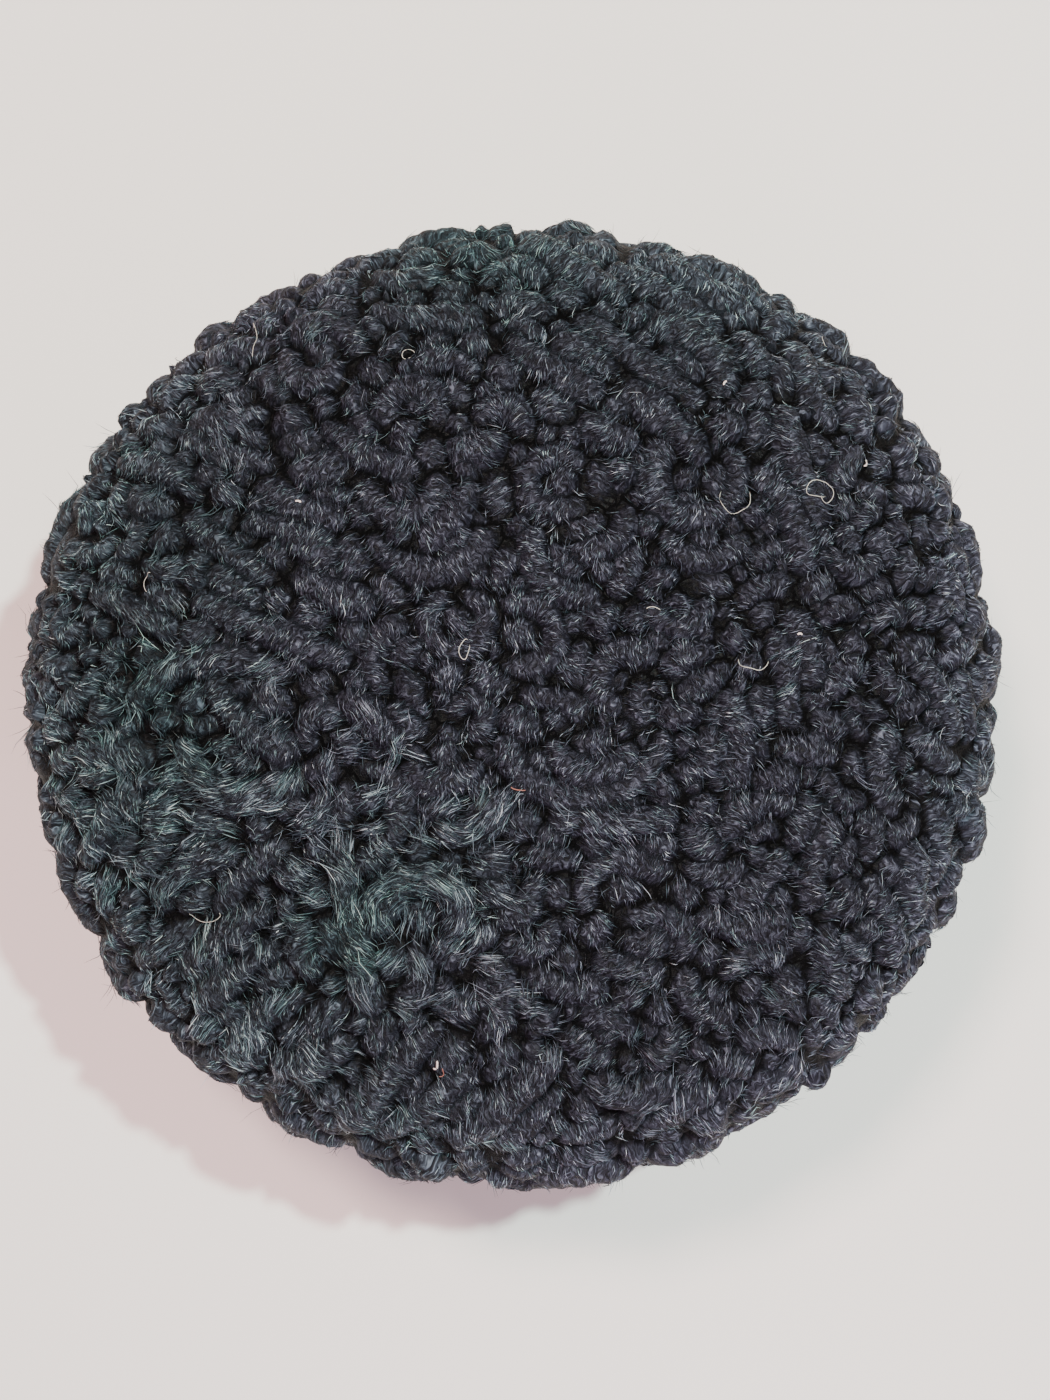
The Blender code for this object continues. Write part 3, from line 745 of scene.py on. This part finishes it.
# A strip of the pattern once round the cap, with rows down its fur side and a few rows
# back up inside the pelt.
def makeBandRelief(shape, land, material):
    rows, columns = relief["bandRows"], relief["bandColumns"]
    start = bandEdge - relief["overSeam"] * mm
    down = np.linspace(start, rim, rows)
    x, y = np.meshgrid(np.arange(columns) * around / columns, down)
    back = np.linspace(rim, start, relief["underRows"])
    under = bandPoint(x[:1], back[:, None], np.full((1, columns), relief["lowest"] * mm))
    quads = ringFaces(rows + len(back), columns, True)
    inEdge = np.minimum(y - start, rim - y)
    return reliefPiece("side_band_curls", "side_band", shape, land, bandPoint, x.ravel(),
                       y.ravel(), inEdge.ravel(), under.reshape(-1, 3), quads,
                       np.empty((0, 3), int), material)


# Hairs: thin spindles that lie on the relief

HairSet = namedtuple("HairSet", "count points span fly thickness combed lock")
hairSets = {                 # millimetres; a lock is how many hairs share a direction
    "crown_hairs_1": HairSet(32000, 3, 2.5, 0.04, 0.065, 0, 8),
    "crown_hairs_2": HairSet(20500, 3, 2.1, 0.1, 0.06, 0, 5),
    "crown_long_hairs": HairSet(4500, 4, 3.2, 0.35, 0.055, 0, 2),
    "crown_combed": HairSet(6800, 4, 4.2, 0.2, 0.075, 1, 20),
    "band_hairs": HairSet(23000, 3, 2.9, 0.1, 0.085, 0, 6),
    "band_long_hairs": HairSet(4000, 4, 3.4, 0.9, 0.06, 0, 3),
}
hairs = {                    # millimetres, degrees and shares
    "sides": 3, "ringTurn": 0.25, "thicknessSpread": 0.35, "spanSpread": 0.3, "leastSpan": 0.4,
    "own": 5, "lockSpread": 7, "wave": 20, "waveLength": 2.6,              # direction
    "curve": 6, "lockCurve": 30, "lockWide": 0.55, "stray": 0.03,
    "off": 0.03, "offSpread": 0.1, "buried": 0.1, "rootRise": 2.5, "flyPower": 2.0,
    "droop": 0.42, "lowest": 0.15,
    "draws": 5, "highOnly": 0.45, "leastWeight": 0.02, "combedLoose": 2.0,  # where locks grow
    "looseSpan": 0.5, "looseFly": 0.8, "looseTone": 0.04, "lockTone": 0.15, "lockGreen": 0.5,
    "seed": 31,
}


# Closed three-sided spindles along path[strand, point]: its ends are the tips, and the
# points between carry rings of radius thickness.
def strandsMesh(name, node, path, thickness, tone, green, material):
    forward = path[:, 2:] - path[:, :-2]
    forward /= np.linalg.norm(forward, axis=2, keepdims=True)
    helper = path.mean(axis=1) - np.array([0, 0, 0.5 * skin["widestHeight"] * mm])
    helper = np.broadcast_to(helper[:, None], forward.shape)
    left = np.cross(helper, forward)
    left /= np.linalg.norm(left, axis=2, keepdims=True)
    up = np.cross(forward, left)
    angle = (np.arange(hairs["sides"]) + hairs["ringTurn"]) * fullTurn / hairs["sides"]
    radius = thickness[:, None, None, None]
    rings = path[:, 1:-1, None] + radius * (np.cos(angle)[:, None] * left[:, :, None]
                                            + np.sin(angle)[:, None] * up[:, :, None])
    tips = path[:, [0, -1]]
    count, rows = rings.shape[:2]
    along = np.linspace(0, 1, rows + 2)
    maps = np.empty(rings.shape[:3] + (2,))
    maps[..., 0] = tone[:, None, None]
    maps[..., 1] = along[1:-1, None]
    tipMaps = np.stack([np.repeat(tone[:, None], 2, axis=1),
                        np.broadcast_to(along[[0, -1]], (count, 2))], axis=-1)
    # The rim attribute carries the painted rim light towards the shoulder.
    piece = tubesMesh(name, rings, tips, maps, tipMaps,
                      {"green": green, "paintedRimLight": paintedRimLightAt(path.mean(axis=1))})
    return settle(piece, node, "karakul_fur", material)


# Spots spread evenly over the disc, at R * sqrt(chance) from its middle.
def discSpots(rng, count):
    out, angle = crownEdge * np.sqrt(rng.uniform(0, 1, count)), rng.uniform(0, fullTurn, count)
    return out * np.cos(angle), out * np.sin(angle)


# Spots spread evenly over the strip.
def stripSpots(rng, count):
    return rng.uniform(0, around, count), rng.uniform(bandEdge, rim, count)


# Hairs over the relief, in locks. A hair goes the way its roll's hair does, across it
# from root side to overhang turned by its lean and by a slow wave along it, give or take
# what its lock and itself add. It bends sideways as it goes, and its tip lifts off.
def hairPaths(shape, land, spots, toCap, kind, rng):
    locks = kind.count // kind.lock
    x, y = spots(rng, locks * hairs["draws"])
    level, who = landAt(land, x, y)
    weight = np.clip((level / mm - relief["ground"]) / (relief["crest"] - relief["ground"]),
                     hairs["leastWeight"], 1) ** hairs["highOnly"]
    weight = weight * shape["loose"][who] ** (hairs["combedLoose"] * kind.combed)
    pick = rng.choice(len(x), locks, replace=False, p=weight / weight.sum())
    x, y = (np.repeat(v[pick], kind.lock) for v in (x, y))
    count = len(x)
    x = x + hairs["lockWide"] * mm * rng.normal(0, 1, count)
    y = y + hairs["lockWide"] * mm * rng.normal(0, 1, count)
    _, who = landAt(land, x, y)
    along, _, heading = rollPlace(shape, who, x, y)
    loose = shape["loose"][who]
    wave = hairs["wave"] * np.sin(along / (hairs["waveLength"] * mm) + shape["phase"][who, 1])
    shared = np.repeat(rng.normal(0, hairs["lockSpread"], locks), kind.lock)
    shared = shared + wave + rng.normal(0, hairs["own"], count)
    stray = rng.uniform(0, 1, count) < hairs["stray"]
    way = np.where(stray, rng.uniform(0, fullTurn, count), np.radians(shared)
                   + heading + shape["hand"][who] * quarterTurn - shape["lean"][who])
    span = kind.span * mm * np.maximum(1 + hairs["spanSpread"] * rng.normal(0, 1, count),
                                       hairs["leastSpan"])
    span = span * (1 + hairs["looseSpan"] * loose)
    step = np.linspace(0, 1, kind.points)[None]
    curve = np.repeat(rng.normal(0, hairs["lockCurve"], locks), kind.lock)
    curve = np.radians(curve + rng.normal(0, hairs["curve"], count)) * (1 + stray)
    turned = way[:, None] + curve[:, None] * (step - 0.5)
    stride = (span / (kind.points - 1))[:, None]
    goX, goY = (np.cumsum(f(turned) * stride, axis=1) for f in (np.cos, np.sin))
    x = x[:, None] + goX - goX.mean(axis=1, keepdims=True)
    y = y[:, None] + goY - goY.mean(axis=1, keepdims=True)
    level, _ = landAt(land, x, y)
    level = np.maximum(level, level.max(axis=1, keepdims=True) - hairs["droop"] * span[:, None])
    off = (hairs["off"] + hairs["offSpread"] * rng.uniform(0, 1, count)) * mm
    fly = rng.exponential(1, count) * kind.fly * (1 + hairs["looseFly"] * loose + stray) * mm
    lifted = (off[:, None] * np.minimum(hairs["rootRise"] * step, 1)
              - hairs["buried"] * mm * (step == 0)
              + fly[:, None] * step ** hairs["flyPower"])
    path = toCap(x, y, level + lifted)
    path[..., 2] = np.maximum(path[..., 2], hairs["lowest"] * mm)
    return path, loose


# One set of hairs. Each hair's tone is drawn by itself and a little by its lock, and the odd lock gets
# a painted green sheen, by the cube of a chance.
def makeHairs(name, node, shape, land, spots, toCap, seed, material):
    rng = np.random.default_rng(seed)
    kind = hairSets[name]
    path, loose = hairPaths(shape, land, spots, toCap, kind, rng)
    spread = hairs["thicknessSpread"]
    thickness = kind.thickness * mm * (1 + spread * rng.uniform(-1, 1, len(path)))
    lock = np.repeat(rng.uniform(0, 1, (2, len(path) // kind.lock)), kind.lock, axis=1)
    share = hairs["lockTone"]
    tone = (1 - share) * rng.uniform(0, 1, len(path)) + share * lock[0]
    tone = np.clip(tone + hairs["looseTone"] * loose, 0, 1)
    green = np.clip(greenSheenAt(path.mean(axis=1)) + hairs["lockGreen"] * lock[1] ** 3, 0, 1)
    return strandsMesh(name, node, path, thickness, tone, green, material)


# Pelt: the skin with its close under-fur outside and its suede flesh side inside

pelt = {                     # millimetres, and counts of points
    "underFur": 1.6, "underSpread": 0.3, "sewn": 1.0, "columns": 150, "rows": 14,
    "roundWave": 1.3, "downWave": 1.1, "roundBend": (1.7, 0.31), "downBend": (1.3, 0.27),
}


# Lift of the under-fur: a level plus crossed sine waves about 7 mm long, each bent by
# the other, sin(round + bend sin(down)) * sin(down + bend sin(round)).
def underFur(length, angle):
    roundWay, downWay = angle * widest / (pelt["roundWave"] * mm), length / (pelt["downWave"] * mm)
    (roundBend, roundSlow), (downBend, downSlow) = pelt["roundBend"], pelt["downBend"]
    waves = (np.sin(roundWay + roundBend * np.sin(roundSlow * downWay))
             * np.sin(downWay + downBend * np.sin(downSlow * roundWay)))
    return (pelt["underFur"] + pelt["underSpread"] * waves) * mm


# One wall of pelt between two arc lengths, turned once about the cap's axis. Its rows
# go down the outside from start to end and come back up the inside.
def peltSurface(name, node, start, end, closed, outside, inside):
    rows, columns = pelt["rows"], pelt["columns"]
    angle = -np.arange(columns) * fullTurn / columns
    down = np.linspace(start, end, rows)
    length, angle = np.broadcast_arrays(np.concatenate([down, down[::-1]])[:, None], angle)
    lift = underFur(length, angle)
    lift[[0, rows - 1]] = pelt["sewn"] * mm
    lift[rows:] = -skin["thickness"] * mm
    if not closed:
        length, angle, lift = length[1:-1], angle[1:-1], lift[1:-1]
    points = onCap(length, angle, lift)
    if closed:
        points[rows - 1:rows + 1, :, 2] = 0
    count = len(points)
    quads = ringFaces(count, columns, closed)
    tris = np.empty((0, 3), int) if closed else tipFaces(count, columns)
    verts = points.reshape(-1, 3)
    if not closed:
        poles = onCap(np.zeros(2), np.zeros(2),
                      np.array([pelt["underFur"], -skin["thickness"]]) * mm)
        verts = np.concatenate([verts, poles])
    maps = np.stack([verts[:, 0], verts[:, 1]], axis=1) / mm
    piece = arrayMesh(name, verts, quads, tris, maps, {"green": greenSheenAt(verts)})
    settle(piece, node, "pelt_skin", outside, inside)
    rowOf = np.concatenate([quads[:, 0] // columns, np.zeros(len(tris), int)])
    if not closed:
        rowOf[len(quads) + columns:] = count
    flesh = (rowOf >= rows - 1 if closed else rowOf >= rows - 2).astype(np.int32)
    piece.data.polygons.foreach_set("material_index", flesh)
    return piece


# Materials. The UV map of the fur is in millimetres, and Object coordinates are in metres

fur = {                      # sRGB colours, each after the place on its ramp
    # hair: tone differs at random from hair to hair; its lightest stops also stand in for glints, as
    # painted highlights
    "hair": [(0.04, "#0a0b10"), (0.28, "#1b1d27"), (0.55, "#353846"), (0.78, "#5a5e6e"),
             (0.93, "#8b90a0"), (1.0, "#bcc1cc")],
    # the green ramps of hair and roll give the painted green sheen
    "hairGreen": [(0.04, "#060b0d"), (0.28, "#162327"), (0.55, "#2d4146"), (0.78, "#4f6d6f"),
                  (0.93, "#82a29e"), (1.0, "#b4d0c9")],
    # painted shade: each hair is darker towards its root, where it lies down in the fur
    "hairRootShade": [(0.0, "#606060"), (0.45, "#ffffff")],
    "roll": [(0.36, "#07070b"), (0.48, "#16161f"), (0.58, "#2d2e39"), (0.7, "#575a69")],
    "rollGreen": [(0.36, "#04080a"), (0.48, "#0f191c"), (0.58, "#213236"), (0.7, "#486064")],
    # painted shade: darkens the rolls' colour down in the gaps between them
    "rollCreviceShade": [(0.0, "#30303a"), (0.14, "#84848e"), (0.3, "#ffffff")],
    "down": [(0.35, "#030305"), (0.65, "#14151c")],
    "streaks": (1.7, 0.5, 1.0),      # to the millimetre: one each 0.6 mm, 2 mm long
    "drift": 0.55, "driftBy": (3.0, 3.0, 0.0), "bump": 1.0,
    "downGrains": 0.9, "downBump": 0.4,      # to the millimetre: one each 1.1 mm
}
suede = {"tan": [(0.3, "#5a4b3d"), (0.55, "#6e5d4c"), (0.75, "#806e5b")],
         "clouds": 0.045, "nap": 1.6, "bump": 0.2}   # to the millimetre: each 22 mm, 0.6 mm


# Colour of the fur: a ramp over shade, the fibre's own tone, mixed towards the green ramp where the
# fur has a painted green sheen, times a ramp over depth, which is painted shade in the gaps and at the
# roots, times (1 + gain * paintedRimLight), which is painted rim light towards the shoulder.
def furColourAndPaintedLight(tree, shade, stops, greenStops, depth, depthStops):
    plain = addNode(tree, "ShaderNodeValToRGB", links={"Fac": shade})
    setRamp(plain, stops)
    shine = addNode(tree, "ShaderNodeValToRGB", links={"Fac": shade})
    setRamp(shine, greenStops)
    green = addNode(tree, "ShaderNodeAttribute", {"attribute_name": "green"})
    mixed = addNode(tree, "ShaderNodeMix", {"data_type": "RGBA"},
                    {"Factor": green.outputs["Fac"], "A": plain.outputs["Color"],
                     "B": shine.outputs["Color"]})
    deep = addNode(tree, "ShaderNodeValToRGB", links={"Fac": depth})
    setRamp(deep, depthStops)
    darker = addNode(tree, "ShaderNodeMix",
                     {"data_type": "RGBA", "blend_type": "MULTIPLY", "Factor": 1.0},
                     {"A": mixed.outputs["Result"], "B": deep.outputs["Color"]})
    # painted rim light: the colour is lighter towards the shoulder
    where = addNode(tree, "ShaderNodeAttribute", {"attribute_name": "paintedRimLight"})
    gain = addNode(tree, "ShaderNodeMath",
                   {"operation": "MULTIPLY_ADD", 1: paintedRimLight["gain"], 2: 1.0},
                   {0: where.outputs["Fac"]})
    return addNode(tree, "ShaderNodeVectorMath", {"operation": "SCALE"},
                   {"Vector": darker.outputs["Result"],
                    "Scale": gain.outputs["Value"]}).outputs["Vector"]


# Black-dyed karakul hair, smooth keratin tubes. Each hair is near black with its own shade and takes
# small violet-grey glints, real from its specular and partly painted by the lightest tones of its
# ramp; it is painted darker at its root as painted shade, and some tufts get a painted green sheen.
def furFibre(name):
    material, tree, shader = newMaterial(name)
    lie = addNode(tree, "ShaderNodeUVMap", {"uv_map": "lie"})
    parts = addNode(tree, "ShaderNodeSeparateXYZ", links={"Vector": lie.outputs["UV"]})
    colour = furColourAndPaintedLight(tree, parts.outputs["X"], fur["hair"], fur["hairGreen"],
                     parts.outputs["Y"], fur["hairRootShade"])
    setNode(shader, {"Roughness": 0.4, "Specular IOR Level": 0.3}, {"Base Color": colour})
    return material


# The imported body of a curl: hairs too close to tell apart, drawn as streaks that cross the roll,
# coarser than real hairs so that they still show. The gaps between the rolls are painted darker by the
# deep attribute, as painted shade.
def furRoll(name):
    material, tree, shader = newMaterial(name)
    lie = addNode(tree, "ShaderNodeUVMap", {"uv_map": "lie"})
    drift = addNode(tree, "ShaderNodeTexNoise", {"Scale": fur["drift"], "Detail": 1.0},
                    {"Vector": lie.outputs["UV"]})
    bent = addNode(tree, "ShaderNodeVectorMath", {"operation": "MULTIPLY_ADD", 1: fur["driftBy"]},
                   {0: drift.outputs["Color"], 2: lie.outputs["UV"]})
    stretched = addNode(tree, "ShaderNodeMapping", {"Scale": fur["streaks"]},
                        {"Vector": bent.outputs["Vector"]})
    streak = addNode(tree, "ShaderNodeTexNoise",
                     {"Scale": 1.0, "Detail": 3.0, "Roughness": 0.65},
                     {"Vector": stretched.outputs["Vector"]})
    # painted shade in the gaps, by the deep attribute
    depth = addNode(tree, "ShaderNodeAttribute", {"attribute_name": "deep"})
    colour = furColourAndPaintedLight(tree, streak.outputs["Fac"], fur["roll"], fur["rollGreen"],
                     depth.outputs["Fac"], fur["rollCreviceShade"])
    bump = addNode(tree, "ShaderNodeBump", {"Strength": 1.0, "Distance": fur["bump"] * mm},
                   {"Height": streak.outputs["Fac"]})
    setNode(shader, {"Roughness": 0.6, "Specular IOR Level": 0.14},
            {"Base Color": colour, "Normal": bump.outputs["Normal"]})
    return material


# A loose fibre of undyed wool or lint, matt and pale against the dark fur.
def plainFibre(name, colour):
    material, _, shader = newMaterial(name)
    setNode(shader, {"Base Color": linearColour(colour), "Roughness": 0.6})
    return material


# Felted under-fur deep between the curls: matt, and almost without light.
def underFurDown(name):
    material, tree, shader = newMaterial(name)
    place = addNode(tree, "ShaderNodeTexCoord")
    grain = addNode(tree, "ShaderNodeTexNoise", {"Scale": fur["downGrains"] / mm, "Detail": 3.0},
                    {"Vector": place.outputs["Object"]})
    dark = addNode(tree, "ShaderNodeValToRGB", links={"Fac": grain.outputs["Fac"]})
    setRamp(dark, fur["down"])
    bump = addNode(tree, "ShaderNodeBump", {"Strength": 1.0, "Distance": fur["downBump"] * mm},
                   {"Height": grain.outputs["Fac"]})
    setNode(shader, {"Roughness": 0.9, "Specular IOR Level": 0.15},
            {"Base Color": dark.outputs["Color"], "Normal": bump.outputs["Normal"]})
    return material


# Tanned flesh side of the pelt, buffed: a short nap that scatters light, cloudy tone.
def suedeSkin(name):
    material, tree, shader = newMaterial(name)
    place = addNode(tree, "ShaderNodeTexCoord")
    cloud = addNode(tree, "ShaderNodeTexNoise",
                    {"Scale": suede["clouds"] / mm, "Detail": 5.0, "Roughness": 0.6},
                    {"Vector": place.outputs["Object"]})
    nap = addNode(tree, "ShaderNodeTexNoise", {"Scale": suede["nap"] / mm, "Detail": 3.0},
                  {"Vector": place.outputs["Object"]})
    tan = addNode(tree, "ShaderNodeValToRGB", links={"Fac": cloud.outputs["Fac"]})
    setRamp(tan, suede["tan"])
    bump = addNode(tree, "ShaderNodeBump", {"Strength": 0.5, "Distance": suede["bump"] * mm},
                   {"Height": nap.outputs["Fac"]})
    setNode(shader, {"Roughness": 0.85, "Sheen Weight": 0.3},
            {"Base Color": tan.outputs["Color"], "Normal": bump.outputs["Normal"]})
    return material


hairFibre = furFibre("dyed karakul hair")
rollFur = furRoll("packed karakul curl")
feltedDown = underFurDown("felted under-fur")
buffedSuede = suedeSkin("buffed suede skin")

furRandom = np.random.default_rng(relief["seed"])
crownShape = rollShape(crownCurls, relief["crownOverhang"], furRandom)
bandShape = rollShape(bandCurls, relief["bandOverhang"], furRandom)
pastSeam = 2 * relief["overSeam"] * mm
landEdge = crownEdge + pastSeam
crownLand = meltRolls(crownShape, (-landEdge, -landEdge), (landEdge, landEdge))
bandLand = meltRolls(bandShape, (0.0, bandEdge - pastSeam), (around, rim))
print("rolls melted into a relief")
makeCrownRelief(crownShape, crownLand, rollFur)
makeBandRelief(bandShape, bandLand, rollFur)
print("relief made")

peltSurface("crown_pelt", "crown", 0.0, crownEdge, False, feltedDown, buffedSuede)
peltSurface("band_pelt", "side_band", bandEdge, rim, True, feltedDown, buffedSuede)
print("pelt made")

for seed, name in enumerate(hairSets, hairs["seed"]):
    if name.startswith("crown"):
        makeHairs(name, "crown", crownShape, crownLand, discSpots, crownPoint, seed, hairFibre)
    else:
        makeHairs(name, "side_band", bandShape, bandLand, stripSpots, bandPoint, seed, hairFibre)
print("hairs made")


# Lint: pale fibres and specks caught in the crown's curls

Lint = namedtuple("Lint", "x y wide high start sweep")   # an ellipse's arc, mm and degrees
lintFibres = [
    Lint(-51.5, 70.0, 0.5, 3.6, -90, 180), Lint(-21.0, 66.2, 1.2, 1.0, 0, 320),
    Lint(42.2, 36.9, 3.0, 3.2, 150, 230), Lint(57.5, 38.2, 2.4, 1.6, 20, 300),
    Lint(59.4, 37.6, 1.4, 1.8, 200, 250), Lint(-69.1, 20.5, 1.6, 2.0, 90, 150),
    Lint(-9.4, 7.5, 0.9, 2.0, 60, 330), Lint(45.8, 6.0, 3.0, 2.3, 180, 170),
    Lint(-59.4, -43.0, 2.8, 1.3, 160, 220), Lint(26.4, 15.3, 1.4, 0.5, 0, 170),
    Lint(61.4, 69.9, 1.3, 1.6, 30, 260),
]
lintSpecks = [
    Lint(-41.1, 36.0, 0.5, 0.3, 0, 150), Lint(40.5, 59.0, 0.4, 0.4, 60, 140),
    Lint(68.1, 45.3, 0.6, 0.9, 250, 150), Lint(54.2, 10.4, 0.4, 0.3, 0, 150),
    Lint(-15.0, -71.2, 0.6, 1.0, 240, 160),
]
lintThreads = [Lint(-14.1, -72.3, 0.9, 1.3, 250, 150), Lint(0.8, -18.7, 1.6, 0.7, 190, 130)]
lint = {"points": 16, "lift": 0.25, "fibre": 0.085, "speck": 0.24, "thread": 0.13}


# Points x + wide cos t, y + high sin t in plan, moved out to the domed skin and laid
# over the crests.
def makeLint(name, rows, thickness, material):
    t = np.linspace(0, 1, lint["points"])[None]
    row = {field: values[:, None] for field, values in columnsOf(rows).items()}
    angle = np.radians(row["start"] + row["sweep"] * t)
    x = (row["x"] + row["wide"] * np.cos(angle)) * mm
    y = (row["y"] + row["high"] * np.sin(angle)) * mm
    plan = np.hypot(x, y)
    out = np.interp(plan, profile["radius"][:upper], profile["length"][:upper]) / plan
    x, y = x * out, y * out
    level, _ = landAt(crownLand, x, y)
    level = np.maximum(level, level.mean(axis=1, keepdims=True)) + lint["lift"] * mm
    ones, zeros = np.ones(len(rows)), np.zeros(len(rows))
    strandsMesh(name, "crown", crownPoint(x, y, level), thickness * mm * ones, ones, zeros,
                material)


makeLint("lint_fibres", lintFibres, lint["fibre"], plainFibre("undyed wool fibre", "#b9b6b0"))
makeLint("lint_specks", lintSpecks, lint["speck"], plainFibre("pale felted lint", "#d8c9c6"))
makeLint("lint_threads", lintThreads, lint["thread"], plainFibre("brown cotton thread", "#8a5a50"))
print("lint made")


# Floor, light and camera

studio = {
    "floorHex": "#efebe9", "floorSize": 4.0, "worldHex": "#ffced4", "worldStrength": 0.4,
    "keyHex": "#e2fff2", "keyPower": 15.8, "keySize": 0.035, "keyPlace": (0.31, 0.21, 1.0),
    "fillHex": "#ffdbd0", "fillPower": 12.8, "fillSize": 0.16, "fillPlace": (-0.22, 0.28, 0.97),
    "frontHex": "#ffe9f6", "frontPower": 2.1, "frontSize": 0.3, "frontPlace": (0.15, -0.48, 0.36),
}


def makeFloor():
    half = 0.5 * studio["floorSize"]
    verts = np.array([[-half, -half, 0], [half, -half, 0], [half, half, 0], [-half, half, 0]])
    floor = arrayMesh("floor", verts, np.array([[0, 1, 2, 3]]), np.empty((0, 3), int),
                      verts[:, :2], {})
    material, _, shader = newMaterial("matt white card")     # plain, and hardly shines
    setNode(shader, {"Base Color": linearColour(studio["floorHex"]), "Roughness": 0.75})
    floor.data.materials.append(material)


# Puts a light or camera at a place and turns its -Z axis to the target.
def aim(thing, place, target):
    thing.location = place
    thing.rotation_euler = (Vector(target) - Vector(place)).to_track_quat("-Z", "Y").to_euler()


# A square area light from the studio settings, aimed at the top of the cap.
def makeLight(name):
    data = bpy.data.lights.new(name, "AREA")
    data.energy, data.size = studio[name + "Power"], studio[name + "Size"]
    data.color = linearColour(studio[name + "Hex"])[:3]
    lamp = bpy.data.objects.new(name, data)
    bpy.context.scene.collection.objects.link(lamp)
    aim(lamp, studio[name + "Place"], (0, 0, skin["topHeight"] * mm))


makeFloor()
world = bpy.data.worlds.new("studio")
bpy.context.scene.world = world
world.use_nodes = True
setNode(world.node_tree.nodes["Background"],
        {"Color": linearColour(studio["worldHex"]), "Strength": studio["worldStrength"]})
for name in ("key", "fill", "front"):
    makeLight(name)

photo = {                    # pixels of the 1050 x 1400 frame, millimetres and degrees
    "width": 1050, "height": 1400, "capX": 511, "capY": 697, "capPixels": 973,
    "capWide": 200.3, "distance": 385, "ringHeight": 80, "elevation": 87.0, "sensor": 36,
    "nearest": 10,
}


# Looks down on the crown. The lens makes the cap capPixels wide in the frame.
def makeCamera():
    scale = photo["capWide"] * mm / photo["capPixels"]
    right = (0.5 * photo["width"] - photo["capX"]) * scale
    upward = (photo["capY"] - 0.5 * photo["height"]) * scale
    target = (right, upward, photo["ringHeight"] * mm)
    lean = math.radians(photo["elevation"])
    away = photo["distance"] * mm
    data = bpy.data.cameras.new("camera")
    camera = bpy.data.objects.new("camera", data)
    bpy.context.scene.collection.objects.link(camera)
    place = (right, upward - away * math.cos(lean), target[2] + away * math.sin(lean))
    aim(camera, place, target)
    data.sensor_fit = "VERTICAL"
    data.sensor_height = photo["sensor"]
    data.lens = photo["sensor"] * away / (photo["height"] * scale)
    data.clip_start = photo["nearest"] * mm
    bpy.context.scene.camera = camera


makeCamera()
print("studio made")
